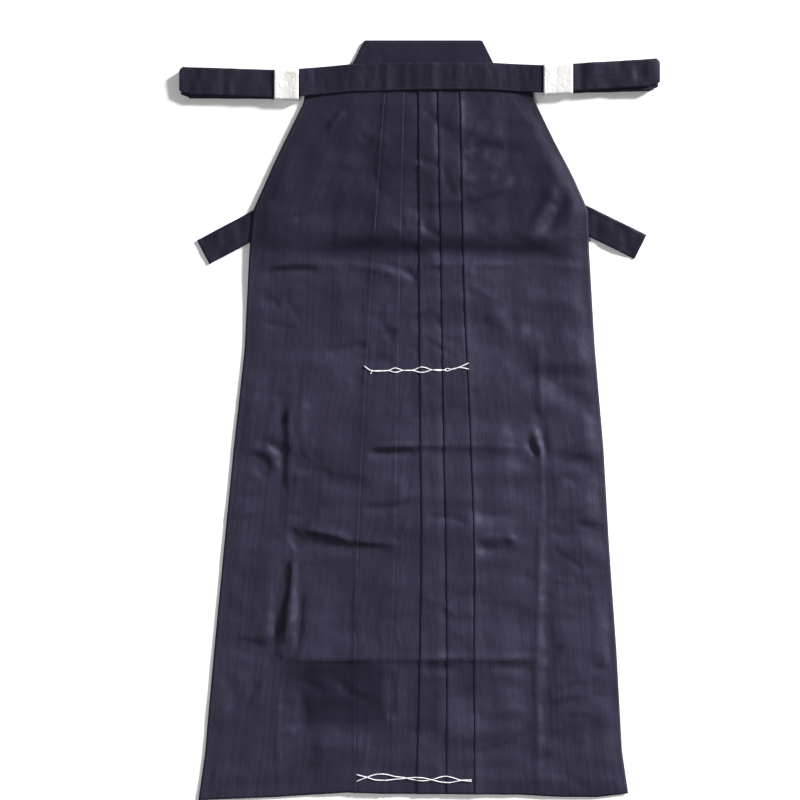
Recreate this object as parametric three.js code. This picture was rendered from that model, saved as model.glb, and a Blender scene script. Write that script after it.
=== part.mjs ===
// Hakama trousers laid out flat with the front up: two pleated legs, a front waistband whose
// long straps are folded into bundles, a stiff back board and two folded back straps.
// Millimetres. +X is to the viewer's right, +Y towards the waist, +Z up from the surface.
// The origin is on that surface, under the middle of the laid-out garment.
import * as THREE from "three";

// Cloth
const WALL = 1; // one layer of cloth
const GAP = 0.3; // air between layers and at seams
const LAYER = WALL + GAP; // rise from one layer to the next
const FOLD = 1.5; // depth of the rounded nose of a fold
const SETTLE = 14; // width over which a layer sinks past the edge of the layers under it

// Lengths along the garment
const WAIST_Y = 443.5; // lower edge of the front waistband
const LENGTH = 946.3; // from there to the hem
const HEM_Y = WAIST_Y - LENGTH;
const SPREAD_Y = WAIST_Y - 11; // below this the pleats and the outline spread
const STRAP_WIDTH = 37;
const TUCK = 27; // how far the leg cloth reaches up inside the waistband
const CROTCH_Y = 150;

// Back board
const BOARD_THICK = 4;
const BOARD_BEVEL = 0.8;
const BOARD = { top: 512, height: 85, topWidth: 160, bottomWidth: 245, middle: 7.5, corner: 4 };
const BOARD_BOTTOM = BOARD.top - BOARD.height;

// Outline of the laid-out front: half widths at heights along the garment
const OUTLINE = [
  { y: WAIST_Y + TUCK, left: -148, right: 151 },
  { y: SPREAD_Y, left: -153.7, right: 157.3 },
  { y: 285, left: -220, right: 228 },
  { y: 228, left: -226.3, right: 231 },
  { y: 95, left: -233.5, right: 239 },
  { y: -39, left: -247.8, right: 250.5 },
  { y: -174, left: -261.2, right: 258.4 },
  { y: -377, left: -280.3, right: 271.8 },
  { y: HEM_Y, left: -295.5, right: 284 },
];

// Outline of the back, which hides behind the front down to the hips
const BACK_OUTLINE = [
  { y: BOARD_BOTTOM - GAP, left: -114, right: 128 },
  { y: 285, left: -216, right: 224 },
  ...OUTLINE.slice(3),
];

// Folded edges of the five front pleats, from left to right
const PLEATS = {
  farLeft: { waist: -44, hem: -83, bow: 0 },
  nearLeft: { waist: -18, hem: -42, bow: 2 },
  centre: { waist: 1, hem: -1, bow: 5 },
  nearRight: { waist: 27, hem: 40, bow: 2.5 },
  farRight: { waist: 57, hem: 77.5, bow: 5 },
};
const PLEAT_LAP = 40; // depth of the outermost pleat on each side
const SHORT = 5; // how far a hidden turn stops short of the next pleat
const TUCK_SHARE = 0.62; // reach of the innermost turn, from the centre pleat to the next one
const SEAM = 6; // from a leg's side edge to its seam

// Pressed creases that cross the front, and how high they stand
const CROSS_CREASES = [
  { y: 212, height: 2 },
  { y: -39, height: 1.2 },
  { y: -163, height: 2.2 },
  { y: -323, height: 2 },
];
const LONG_CREASES = { left: -188, right: 165, height: 1.6, top: 200, fade: 80 };
const CREASE_HALF = 12;
const CREASE_CLEAR = 24; // from a pleat's lap to the crease beside it, at the waist
const CREASE_LEAST = 0.3; // a crease's width at the waist, over its full width
const CROWDED = 120; // half width of the garment up to which the creases lie so
const CROWD_FADE = 110; // over this much more they draw clear

// Height that the front stands off the back: the back straps and the board lie between them
const FRONT_LIFT = [
  { y: WAIST_Y + TUCK, lift: BOARD_THICK + GAP + LAYER, back: 0 },
  { y: SPREAD_Y, lift: BOARD_THICK + GAP + LAYER, back: 0 },
  { y: 400, lift: 4.6, back: 1 },
  { y: 228, lift: 4.6, back: 1 },
  { y: 120, lift: 0, back: 1 },
  { y: HEM_Y, lift: 0, back: 1 },
];

// How far the edges across the garment sag from straight, by distance from the middle
const WAIST_SAG = [
  { x: -160, sag: 9 },
  { x: -90, sag: 2.5 },
  { x: 0, sag: 0 },
  { x: 90, sag: 0 },
  { x: 169, sag: 4 },
];
const HEM_SAG = [
  { x: -296, sag: 9 },
  { x: -191, sag: 4.7 },
  { x: -94, sag: -1.7 },
  { x: -29, sag: 0.2 },
  { x: 36, sag: 0.2 },
  { x: 135, sag: 1.2 },
  { x: 192, sag: 4.3 },
  { x: 241, sag: 4.6 },
  { x: 284, sag: -0.2 },
];
const SAG_FADE = 90; // the sag dies out over this length

// Front straps, folded to and fro beside the waistband. A bundle's lower runs fan out at its
// far end, by fan at most.
const FRONT_STRAPS = [
  { name: "left", side: -1, from: 159.3, end: 320, middleY: 450.3, tilt: 1.9, fan: 5.5, paper: 33 },
  {
    name: "right",
    side: 1,
    from: 168.7,
    end: 325.5,
    middleY: 457.4,
    tilt: 3.5,
    fan: 8.4,
    paper: 39.5,
  },
];
const STRAP_FOLDS = 9; // runs in a bundle
const UNEVEN = 1.7; // step in radians that makes one run drift differently from the next
const BUNDLE_START = 13; // from the waistband's end to the bundle's inner turns
const PAPER = 0.6;
const PAPER_HEIGHT = 40;

// Back straps: where the folded end shows beside the hip, and how it comes from the board
const BACK_STRAPS = [
  { name: "left", side: -1, endX: 288.8, endY: 225.9, slope: 27.8, dropX: 104 },
  { name: "right", side: 1, endX: 300.5, endY: 233, slope: 26, dropX: 116 },
];
const BACK_STRAP_WIDTH = 36;
const BACK_STRAP_RETURN = 160; // length of the runs folded back on the visible end
const HIP = 70; // length of the visible end beyond the leg's edge
const ROOT_CLEAR = { near: 14, far: 34, level: 60 }; // past the slant fold, off the root

const NAVY = { color: 0x1f1d2e, roughness: 0.8, metalness: 0 };
const MATERIALS = {
  legs: new THREE.MeshStandardMaterial(NAVY),
  straps: new THREE.MeshStandardMaterial({ ...NAVY, color: 0x1b1a28 }),
  board: new THREE.MeshStandardMaterial({ ...NAVY, color: 0x1c1a29, roughness: 0.7 }),
  paper: new THREE.MeshStandardMaterial({ color: 0xf3f1f0, roughness: 0.9, metalness: 0 }),
};

// Reads a table whose rows are sorted on one column, between its rows.
function lookup(table, column, at, wanted) {
  const rows = [...table].sort((a, b) => a[column] - b[column]);
  if (at <= rows[0][column]) return rows[0][wanted];
  const next = rows.findIndex((row) => row[column] >= at);
  if (next < 0) return rows[rows.length - 1][wanted];
  const [low, high] = [rows[next - 1], rows[next]];
  const share = (at - low[column]) / (high[column] - low[column]);
  return low[wanted] + share * (high[wanted] - low[wanted]);
}

const clamp01 = (value) => Math.min(1, Math.max(0, value));

// A closed wall of cloth from two grids of points, its face and its back.
// Each grid is a list of rows, and both have the same rows and columns.
function clothWall(face, back) {
  const rows = face.length;
  const columns = face[0].length;
  const positions = [...face.flat(), ...back.flat()].flat();
  const at = (grid, row, column) => grid * rows * columns + row * columns + column;
  const index = [];
  const quad = (a, b, c, d) => index.push(a, b, c, a, c, d);
  for (let r = 0; r + 1 < rows; r++)
    for (let c = 0; c + 1 < columns; c++) {
      quad(at(0, r, c), at(0, r, c + 1), at(0, r + 1, c + 1), at(0, r + 1, c));
      quad(at(1, r, c), at(1, r + 1, c), at(1, r + 1, c + 1), at(1, r, c + 1));
    }
  for (let r = 0; r + 1 < rows; r++) {
    quad(at(0, r, 0), at(0, r + 1, 0), at(1, r + 1, 0), at(1, r, 0));
    const last = columns - 1;
    quad(at(0, r, last), at(1, r, last), at(1, r + 1, last), at(0, r + 1, last));
  }
  for (let c = 0; c + 1 < columns; c++) {
    quad(at(0, 0, c), at(1, 0, c), at(1, 0, c + 1), at(0, 0, c + 1));
    const last = rows - 1;
    quad(at(0, last, c), at(0, last, c + 1), at(1, last, c + 1), at(1, last, c));
  }
  if (signedVolume(positions, index) < 0) index.reverse();
  const geometry = new THREE.BufferGeometry();
  geometry.setAttribute("position", new THREE.Float32BufferAttribute(positions, 3));
  geometry.setIndex(index);
  geometry.computeVertexNormals();
  return geometry;
}

function signedVolume(positions, index) {
  const point = (i) => new THREE.Vector3(...positions.slice(3 * index[i], 3 * index[i] + 3));
  let volume = 0;
  for (let i = 0; i < index.length; i += 3)
    volume += point(i).dot(point(i + 1).cross(point(i + 2))) / 6;
  return volume;
}

// Columns: the places across the garment where a layer starts, ends or bends
const COLUMN_NAMES = [
  "sideL", "seamL", "creaseL1", "creaseL", "creaseL2", "flatL",
  "lapL", "lapL_in", "farL_in", "farL", "turnL", "turnL_in", "nearL_in", "nearL",
  "innerL", "innerL_in", "middleL", "middleR",
  "centre", "centre_in", "tuck_in", "tuck", "innerR_in", "innerR",
  "nearR", "nearR_in", "turnR_in", "turnR", "farR", "farR_in", "lapR_in", "lapR",
  "flatR", "creaseR2", "creaseR", "creaseR1", "seamR", "sideR",
];
const COLUMN = Object.fromEntries(COLUMN_NAMES.map((name, i) => [name, i]));

function pleatX(name, y) {
  const { waist, hem, bow } = PLEATS[name];
  const share = clamp01((SPREAD_Y - y) / (SPREAD_Y - HEM_Y));
  return waist + (hem - waist) * share + bow * 4 * share * (1 - share);
}

// The x of every column at one height along the garment.
function columnsAt(y, outline) {
  const left = lookup(outline, "y", y, "left");
  const right = lookup(outline, "y", y, "right");
  const [farL, nearL, centre, nearR, farR] = Object.keys(PLEATS).map((p) => pleatX(p, y));
  const reach = clamp01((right - CROWDED) / CROWD_FADE);
  const blend = (from, to) => from + reach * (to - from);
  const creaseL = blend(farL - PLEAT_LAP - CREASE_CLEAR, LONG_CREASES.left);
  const creaseR = blend(farR + PLEAT_LAP + CREASE_CLEAR, LONG_CREASES.right);
  const half = CREASE_HALF * blend(CREASE_LEAST, 1);
  const tuck = centre + TUCK_SHARE * (nearR - centre);
  const across = [
    left, left + SEAM, creaseL - half, creaseL, creaseL + half, farL - PLEAT_LAP - SETTLE / 2,
    farL - PLEAT_LAP, farL - PLEAT_LAP + FOLD, farL - FOLD, farL,
    farL + SHORT, farL + SHORT + FOLD, nearL - FOLD, nearL,
    nearL + SHORT, nearL + SHORT + FOLD, -GAP / 2, GAP / 2,
    centre, centre + FOLD, tuck - FOLD, tuck, nearR - SHORT - FOLD, nearR - SHORT,
    nearR, nearR + FOLD, farR - SHORT - FOLD, farR - SHORT, farR, farR + FOLD,
    farR + PLEAT_LAP - FOLD, farR + PLEAT_LAP, farR + PLEAT_LAP + SETTLE / 2,
    creaseR - half, creaseR, creaseR + half, right - SEAM, right,
  ];
  const inside = (x) => Math.min(Math.max(x, left + SEAM), right - SEAM);
  return across.map((x, i) => (i === 0 || i === across.length - 1 ? x : inside(x)));
}

// Every layer, the lowest first, from its left column to its right one
const LAYERS = [
  { name: "backR1", low: "nearR", high: "sideR", back: true },
  { name: "backR2", low: "nearR", high: "turnR", back: true },
  { name: "backR3", low: "middleR", high: "turnR", back: true },
  { name: "backL1", low: "sideL", high: "nearL", back: true },
  { name: "backL2", low: "turnL", high: "nearL", back: true },
  { name: "backL3", low: "turnL", high: "middleL", back: true },
  { name: "gussetL", low: "innerL", high: "middleL", back: true },
  { name: "gussetR", low: "middleR", high: "innerR", back: true },
  { name: "left6", low: "innerL", high: "tuck" },
  { name: "left5", low: "turnL", high: "tuck" },
  { name: "left4", low: "turnL", high: "nearL" },
  { name: "left3", low: "lapL", high: "nearL" },
  { name: "left2", low: "lapL", high: "farL" },
  { name: "left1", low: "sideL", high: "farL" },
  { name: "right6", low: "centre", high: "innerR" },
  { name: "right5", low: "centre", high: "turnR" },
  { name: "right4", low: "nearR", high: "turnR" },
  { name: "right3", low: "nearR", high: "lapR" },
  { name: "right2", low: "farR", high: "lapR" },
  { name: "right1", low: "farR", high: "sideR" },
];

// How much of a layer's thickness lifts what lies over it at one column: all of it where the
// layer is, and less and less past its ends.
function cover(layer, column, xs) {
  const [low, high] = [COLUMN[layer.low], COLUMN[layer.high]];
  if (column >= low && column <= high) return 1;
  const past = column < low ? xs[low] - xs[column] : xs[column] - xs[high];
  return clamp01(1 - past / SETTLE);
}

const rawLevel = (from, to, column, xs) =>
  LAYERS.slice(from, to).reduce((sum, layer) => sum + LAYER * cover(layer, column, xs), 0);

// Height of a layer's underside at one column and one place along the garment.
function undersideOf(name, column, xs, y) {
  const own = LAYERS.findIndex((layer) => layer.name === name);
  const backs = LAYERS.filter((layer) => layer.back).length;
  if (own < backs) return rawLevel(0, own, column, xs);
  const lift = lookup(FRONT_LIFT, "y", y, "lift");
  const share = lookup(FRONT_LIFT, "y", y, "back");
  return (
    share * rawLevel(0, backs, column, xs) +
    lift +
    rawLevel(backs, own, column, xs) +
    creaseHeight(column, y)
  );
}

// Rise of the pressed creases, the same in every layer of the front.
function creaseHeight(column, y) {
  const across = CROSS_CREASES.reduce(
    (most, crease) =>
      Math.max(most, crease.height * clamp01(1 - Math.abs(y - crease.y) / CREASE_HALF)),
    0,
  );
  const onLong = column === COLUMN.creaseL || column === COLUMN.creaseR;
  const below = clamp01((LONG_CREASES.top - y) / LONG_CREASES.fade);
  return Math.max(across, onLong ? LONG_CREASES.height * below : 0);
}

// Where a point of the laid-out cloth lies along the garment, with the sag of waist and hem.
function sagged(x, y) {
  const nearWaist = clamp01(1 - (SPREAD_Y - y) / SAG_FADE);
  const nearHem = clamp01(1 - (y - HEM_Y) / SAG_FADE);
  const waist = nearWaist * lookup(WAIST_SAG, "x", x, "sag");
  return y - waist - nearHem * lookup(HEM_SAG, "x", x, "sag");
}

// One leg panel: the layers that its cloth runs through, from its side edge to its inner edge.
// faceUp says which way the face of the first layer looks.
function panel({ path, ys, outline, faceUp }) {
  const face = [];
  const back = [];
  for (const y of ys) {
    const xs = columnsAt(y, outline);
    const faceRow = [];
    const backRow = [];
    path.forEach((run, i) => {
      const up = faceUp === (i % 2 === 0);
      for (const column of runColumns(run, i, path)) {
        const x = xs[column];
        const low = undersideOf(run.layer, column, xs, y);
        const place = sagged(x, y);
        const [top, under] = [
          [x, place, low + WALL],
          [x, place, low],
        ];
        faceRow.push(up ? top : under);
        backRow.push(up ? under : top);
      }
      const next = path[i + 1];
      if (next) {
        const column = COLUMN[run.to];
        const x = xs[column];
        const heights = [run, next].map((r) => undersideOf(r.layer, column, xs, y));
        const middle = (heights[0] + heights[1] + WALL) / 2;
        const inwards = Math.sign(xs[COLUMN[run.from]] - x);
        const outside = [x, sagged(x, y), middle];
        const inside = [x + inwards * WALL, sagged(x, y), middle];
        const faceOutside = up === heights[1] < heights[0];
        faceRow.push(faceOutside ? outside : inside);
        backRow.push(faceOutside ? inside : outside);
      }
    });
    face.push(faceRow);
    back.push(backRow);
  }
  return clothWall(face, back);
}

// The columns of one run, without the folded edges, which panel() adds itself.
function runColumns(run, i, path) {
  const [from, to] = [COLUMN[run.from], COLUMN[run.to]];
  const step = Math.sign(to - from);
  const first = i === 0 ? from : from + step;
  const last = i === path.length - 1 ? to : to - step;
  const columns = [];
  for (let column = first; step * (last - column) >= 0; column += step) columns.push(column);
  return columns;
}

const FRONT_YS = [
  WAIST_Y + TUCK, SPREAD_Y, 400, 285, 228,
  ...CROSS_CREASES.slice(0, 1).flatMap(({ y }) => [y, y - CREASE_HALF]),
  120,
  ...CROSS_CREASES.slice(1).flatMap(({ y }) => [y + CREASE_HALF, y, y - CREASE_HALF]),
  -240, -420, HEM_Y,
].sort((a, b) => b - a);
const BACK_YS = BACK_OUTLINE.map((row) => row.y);
const GUSSET_YS = [CROTCH_Y, ...BACK_YS.filter((y) => y < CROTCH_Y)];

const FRONT_RIGHT = [
  { layer: "right1", from: "sideR", to: "farR" },
  { layer: "right2", from: "farR", to: "lapR" },
  { layer: "right3", from: "lapR", to: "nearR" },
  { layer: "right4", from: "nearR", to: "turnR" },
  { layer: "right5", from: "turnR", to: "centre" },
  { layer: "right6", from: "centre", to: "innerR" },
];
const FRONT_LEFT = [
  { layer: "left1", from: "sideL", to: "farL" },
  { layer: "left2", from: "farL", to: "lapL" },
  { layer: "left3", from: "lapL", to: "nearL" },
  { layer: "left4", from: "nearL", to: "turnL" },
  { layer: "left5", from: "turnL", to: "tuck" },
  { layer: "left6", from: "tuck", to: "innerL" },
];
const BACK_RIGHT = [
  { layer: "backR1", from: "sideR", to: "nearR" },
  { layer: "backR2", from: "nearR", to: "turnR" },
  { layer: "backR3", from: "turnR", to: "middleR" },
];
const BACK_LEFT = [
  { layer: "backL1", from: "sideL", to: "nearL" },
  { layer: "backL2", from: "nearL", to: "turnL" },
  { layer: "backL3", from: "turnL", to: "middleL" },
];

function legPanels() {
  const front = { ys: FRONT_YS, outline: OUTLINE, faceUp: true };
  const rear = { ys: BACK_YS, outline: BACK_OUTLINE, faceUp: false };
  const inner = { ys: GUSSET_YS, outline: BACK_OUTLINE, faceUp: true };
  return {
    front_leg_left: panel({ path: FRONT_LEFT, ...front }),
    front_leg_right: panel({ path: FRONT_RIGHT, ...front }),
    back_leg_left: panel({ path: BACK_LEFT, ...rear }),
    back_leg_right: panel({ path: BACK_RIGHT, ...rear }),
    gusset_left: panel({ path: [{ layer: "gussetL", from: "innerL", to: "middleL" }], ...inner }),
    gusset_right: panel({ path: [{ layer: "gussetR", from: "middleR", to: "innerR" }], ...inner }),
  };
}

// The front waistband: one strip folded over the tops of both front panels.
function waistband() {
  const y = SPREAD_Y;
  const xs = columnsAt(y, OUTLINE);
  const backs = LAYERS.filter((layer) => layer.back).length;
  const slot = BOARD_THICK + GAP + LAYER;
  const columns = xs.map((x, column) => ({
    x,
    top: slot + rawLevel(backs, LAYERS.length, column, xs),
  }));
  const ends = FRONT_STRAPS.map(({ side, from }) => side * from);
  const stations = [
    { x: ends[0], top: columns[0].top },
    ...columns.filter(({ x }, i) => i === 0 || x - columns[i - 1].x > 0.2),
    { x: ends[1], top: columns[columns.length - 1].top },
  ];
  const top = WAIST_Y + STRAP_WIDTH;
  const under = BOARD_THICK + GAP;
  const rows = stations.map((station) => {
    const middle = (station.top + WALL + under) / 2;
    const place = (v) => v - lookup(WAIST_SAG, "x", station.x, "sag");
    return {
      face: [
        [station.x, place(WAIST_Y), station.top + WALL],
        [station.x, place(top - FOLD), station.top + WALL],
        [station.x, place(top), middle],
        [station.x, place(top - FOLD), under],
        [station.x, place(WAIST_Y), under],
      ],
      back: [
        [station.x, place(WAIST_Y), station.top],
        [station.x, place(top - FOLD), station.top],
        [station.x, place(top - WALL), middle],
        [station.x, place(top - FOLD), under + WALL],
        [station.x, place(WAIST_Y), under + WALL],
      ],
    };
  });
  return clothWall(rows.map((row) => row.face), rows.map((row) => row.back));
}

// A flat strip of cloth through cross lines. Each cross line has its two edge points, the
// height of its underside, and up, which is false where the strip lies on its face. A line
// with a nose is the turn between two runs, and nose is how far the outside stands out.
function strip(lines) {
  const face = [];
  const back = [];
  lines.forEach(({ edges, z, up, nose }, i) => {
    const raised = (height) => edges.map(([x, y]) => [x, y, height]);
    if (nose) {
      const outside = edges.map(([x, y]) => [x + nose[0], y + nose[1], z]);
      const before = lines[i - 1];
      const faceOutside = before.up === z < before.z;
      face.push(faceOutside ? outside : raised(z));
      back.push(faceOutside ? raised(z) : outside);
    } else {
      face.push(raised(up ? z + WALL : z));
      back.push(raised(up ? z : z + WALL));
    }
  });
  return clothWall(face, back);
}

// A front strap: it leaves the waistband's end, climbs onto its bundle and is folded to and
// fro down to the surface. Its runs are a little out of line with each other.
function frontStrap({ side, from, end, middleY, tilt, fan }) {
  const inner = from + BUNDLE_START;
  const floor = PAPER + GAP;
  const rise = Math.tan(THREE.MathUtils.degToRad(tilt));
  const line = (along, z, up, drift, nose) => {
    const rest = floor * clamp01((end - along) / (end - inner)); // the far end touches down
    const y = middleY + (along - from) * rise + drift;
    return {
      edges: [-0.5, 0.5].map((s) => [side * along, y + s * STRAP_WIDTH]),
      z: z + rest,
      up,
      nose: nose && [side * nose, 0],
    };
  };
  const lines = [line(from + GAP, BOARD_THICK + GAP, true, 0)];
  for (let run = 0; run < STRAP_FOLDS; run++) {
    const outwards = run % 2 === 0;
    const z = (STRAP_FOLDS - 1 - run) * LAYER;
    const stops = [
      [inner + FOLD, 0],
      [end - FOLD, (-fan * (1 - Math.cos(UNEVEN * run))) / 2],
    ];
    if (!outwards) stops.reverse();
    for (const [along, off] of stops) lines.push(line(along, z, outwards, off));
    if (run + 1 < STRAP_FOLDS) {
      const [turn, off] = stops[1];
      lines.push(line(turn, z - GAP / 2, outwards, off, outwards ? FOLD : -FOLD));
    }
  }
  return strip(lines);
}

// The paper sleeve round a bundle, beside the waistband's end, in line with the middle of the
// bundle's runs.
function paperSleeve({ side, from, end, middleY, tilt, fan, paper }) {
  const start = from + GAP;
  const inside = PAPER + (STRAP_FOLDS - 1) * LAYER + WALL + 2 * GAP;
  const ring = (half, bottom, top) =>
    [[-half, bottom], [half, bottom], [half, top], [-half, top]].map(
      ([y, z]) => new THREE.Vector2(middleY + y, z),
    );
  const shape = new THREE.Shape(ring(PAPER_HEIGHT / 2 + PAPER, 0, inside + PAPER));
  shape.holes.push(new THREE.Path(ring(PAPER_HEIGHT / 2, PAPER, inside)));
  const geometry = new THREE.ExtrudeGeometry(shape, { depth: paper, bevelEnabled: false });
  // The section's x and y become the garment's y and z, and its depth runs away from the band.
  const rise = Math.tan(THREE.MathUtils.degToRad(tilt)) - fan / 2 / (end - from);
  const away = new THREE.Matrix4().set(0, 0, side, 0, 1, 0, rise, 0, 0, 1, 0, 0, 0, 0, 0, 1);
  geometry.applyMatrix4(away);
  geometry.translate(side * start, 0, 0);
  return outwards(geometry);
}

// Turns the faces of a closed shape outwards, where a mirroring has turned them in.
function outwards(geometry) {
  const plain = geometry.index ? geometry.toNonIndexed() : geometry;
  const positions = Array.from(plain.getAttribute("position").array);
  const corners = Array.from({ length: positions.length / 3 }, (_, i) => i);
  if (signedVolume(positions, corners) > 0) return plain;
  const flipped = corners.reverse().flatMap((i) => positions.slice(3 * i, 3 * i + 3));
  const turned = new THREE.BufferGeometry();
  turned.setAttribute("position", new THREE.Float32BufferAttribute(flipped, 3));
  turned.computeVertexNormals();
  return turned;
}

// A back strap: it comes straight down from the board's lower corner, is folded over a slant
// crease towards the hip, and its visible end is folded back on itself twice.
function backStrap({ side, endX, endY, slope, dropX }) {
  const angle = THREE.MathUtils.degToRad(slope);
  const inward = [-side * Math.cos(angle), Math.sin(angle)];
  const across = [side * Math.sin(angle), Math.cos(angle)];
  const half = BACK_STRAP_WIDTH / 2;
  const end = [side * endX, endY];
  const alongTo = (s) => [end[0] + s * inward[0], end[1] + s * inward[1]];
  const cross = (s) =>
    [-half, half].map((w) => alongTo(s).map((v, i) => v + w * across[i]));
  const corner = (endX - dropX) / Math.cos(angle);
  const turnPoint = alongTo(corner);
  // The crease halves the turn between straight down and the way out to the hip.
  const bisector = new THREE.Vector2(-inward[0], -inward[1] - 1).normalize();
  const reach = half / Math.abs(bisector.x);
  const crease = [1, -1].map((w) => [
    turnPoint[0] + w * bisector.x * reach,
    turnPoint[1] + w * bisector.y * reach,
  ]);
  const noseWay = new THREE.Vector2(inward[0], inward[1] - 1).setLength(FOLD).toArray();
  // Past the crease the strap still lies on its own root, up to this slanted line.
  const clearOfRoot = [
    [ROOT_CLEAR.far, -half],
    [ROOT_CLEAR.near, half],
  ].map(([s, w]) => alongTo(corner - s).map((v, i) => v + w * across[i]));
  const top = BOARD_BOTTOM - GAP;
  const down = [half, -half].map((w) => [side * (dropX + w), top]);
  const low = (s) => LAYER * clamp01(s / HIP);
  return strip([
    { edges: down, z: LAYER, up: true },
    { edges: crease, z: LAYER, up: true },
    { edges: crease, z: LAYER + WALL + GAP / 2, nose: noseWay },
    { edges: crease, z: 2 * LAYER, up: false },
    { edges: clearOfRoot, z: 2 * LAYER, up: false },
    { edges: cross(corner - ROOT_CLEAR.level), z: LAYER, up: false },
    { edges: cross(HIP), z: low(HIP), up: false },
    { edges: cross(FOLD), z: low(FOLD), up: false },
    { edges: cross(FOLD), z: low(FOLD) + WALL + GAP / 2, nose: inward.map((v) => -v * FOLD) },
    { edges: cross(FOLD), z: low(FOLD) + LAYER, up: true },
    { edges: cross(HIP), z: low(HIP) + LAYER, up: true },
    { edges: cross(BACK_STRAP_RETURN - FOLD), z: 2 * LAYER, up: true },
    {
      edges: cross(BACK_STRAP_RETURN - FOLD),
      z: 2 * LAYER + WALL + GAP / 2,
      nose: inward.map((v) => v * FOLD),
    },
    { edges: cross(BACK_STRAP_RETURN - FOLD), z: 3 * LAYER, up: false },
    { edges: cross(HIP), z: low(HIP) + 2 * LAYER, up: false },
    { edges: cross(0), z: 2 * LAYER, up: false },
  ]);
}

// The stiff back board with its cover, a trapezium with rounded corners.
function backBoard() {
  const { top, height, topWidth, bottomWidth, middle, corner } = BOARD;
  const bottom = top - height;
  const corners = [
    [middle - bottomWidth / 2, bottom],
    [middle + bottomWidth / 2, bottom],
    [middle + topWidth / 2, top],
    [middle - topWidth / 2, top],
  ].map(([x, y]) => new THREE.Vector2(x, y));
  const shape = new THREE.Shape();
  corners.forEach((point, i) => {
    const before = corners[(i + 3) % 4].clone().sub(point).setLength(corner).add(point);
    const after = corners[(i + 1) % 4].clone().sub(point).setLength(corner).add(point);
    if (i) shape.lineTo(before.x, before.y);
    else shape.moveTo(before.x, before.y);
    shape.quadraticCurveTo(point.x, point.y, after.x, after.y);
  });
  shape.closePath();
  const geometry = new THREE.ExtrudeGeometry(shape, {
    depth: BOARD_THICK - 2 * BOARD_BEVEL,
    bevelThickness: BOARD_BEVEL,
    bevelSize: BOARD_BEVEL,
    bevelOffset: -BOARD_BEVEL,
    bevelSegments: 1,
    curveSegments: 3,
  });
  geometry.translate(0, 0, BOARD_BEVEL);
  return geometry;
}

const garment = new THREE.Group();
function add(name, geometry, material) {
  const mesh = new THREE.Mesh(geometry, material);
  mesh.name = name;
  garment.add(mesh);
}

for (const [name, geometry] of Object.entries(legPanels())) add(name, geometry, MATERIALS.legs);
add("front_waistband", waistband(), MATERIALS.straps);
add("back_board", backBoard(), MATERIALS.board);
for (const strap of FRONT_STRAPS) {
  add(`front_strap_${strap.name}`, frontStrap(strap), MATERIALS.straps);
  add(`paper_sleeve_${strap.name}`, paperSleeve(strap), MATERIALS.paper);
}
for (const strap of BACK_STRAPS) add(`back_strap_${strap.name}`, backStrap(strap), MATERIALS.straps);

export default garment;
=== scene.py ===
"""Hakama trousers laid out flat: the looks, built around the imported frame.

Sizes are in millimetres and become metres where a point is written to a mesh. X runs to the
right, Y from the hem to the waist and Z up from the surface that the garment lies on.
"""

import logging
import math
from dataclasses import dataclass
from enum import Enum
from typing import Callable, Sequence

import bmesh
import bpy
import numpy as np
from mathutils import Matrix, Vector


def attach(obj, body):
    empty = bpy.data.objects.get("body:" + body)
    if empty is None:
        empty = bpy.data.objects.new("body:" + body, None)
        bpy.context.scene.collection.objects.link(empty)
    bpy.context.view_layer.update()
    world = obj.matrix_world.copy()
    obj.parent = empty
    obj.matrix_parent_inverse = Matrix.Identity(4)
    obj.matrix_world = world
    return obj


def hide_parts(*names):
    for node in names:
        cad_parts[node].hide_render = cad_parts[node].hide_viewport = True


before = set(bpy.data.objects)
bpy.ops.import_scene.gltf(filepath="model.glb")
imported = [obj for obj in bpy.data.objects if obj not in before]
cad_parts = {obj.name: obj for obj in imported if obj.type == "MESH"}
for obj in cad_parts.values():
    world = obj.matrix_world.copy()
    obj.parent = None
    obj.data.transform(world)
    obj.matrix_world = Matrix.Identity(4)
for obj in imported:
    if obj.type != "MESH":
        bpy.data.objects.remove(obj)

LOG = logging.getLogger("hakama")
MM = 0.001
Array = np.ndarray
Place = tuple[float, float]  # x and y on the garment

# Cloth
THICK = 0.42  # one layer
LAYER = 0.75  # rise from one layer to the next
BAND_THICK = 0.9  # the doubled cloth of the band and the straps
BAND_LAYER = 1.25
SETTLE = 12.0  # width over which a layer sinks past the edge of what lies under it
SOFTLY = 26.0  # the same, where the edge lies deep in the heap
CELL = 3.5  # side of a mesh cell where the cloth shows
HIDDEN_CELL = 4.6

# Lengths along the garment
WAIST_Y = 443.5
HEM_Y = -502.8
STRAP_WIDTH = 37.0
TUCK = 24.0  # how far the front's cloth runs up under the waistband
HEM_DEPTH = 12.0


def smooth(share: Array) -> Array:
    """Returns 0 below 0, 1 above 1 and a soft step between."""
    t = np.clip(share, 0.0, 1.0)
    return t * t * (3.0 - 2.0 * t)


def curve_through(at: Array, knots: Sequence[float], values: Sequence[float]) -> Array:
    """A smooth curve through a few knots.

    Args:
        at: Where the curve is wanted.
        knots: Places of the knots, rising.
        values: Heights of the knots.

    Returns:
        The curve's heights, level past the end knots.
    """
    knots, values = np.array(knots, float), np.array(values, float)
    slopes = np.gradient(values, knots)
    at = np.clip(at, knots[0], knots[-1])
    i = np.clip(np.searchsorted(knots, at) - 1, 0, len(knots) - 2)
    span = knots[i + 1] - knots[i]
    t = (at - knots[i]) / span
    return (
        (2 * t**3 - 3 * t**2 + 1) * values[i]
        + (t**3 - 2 * t**2 + t) * span * slopes[i]
        + (3 * t**2 - 2 * t**3) * values[i + 1]
        + (t**3 - t**2) * span * slopes[i + 1]
    )


LATTICE = 64
LATTICE_START = (31.7, 29.3)


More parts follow.
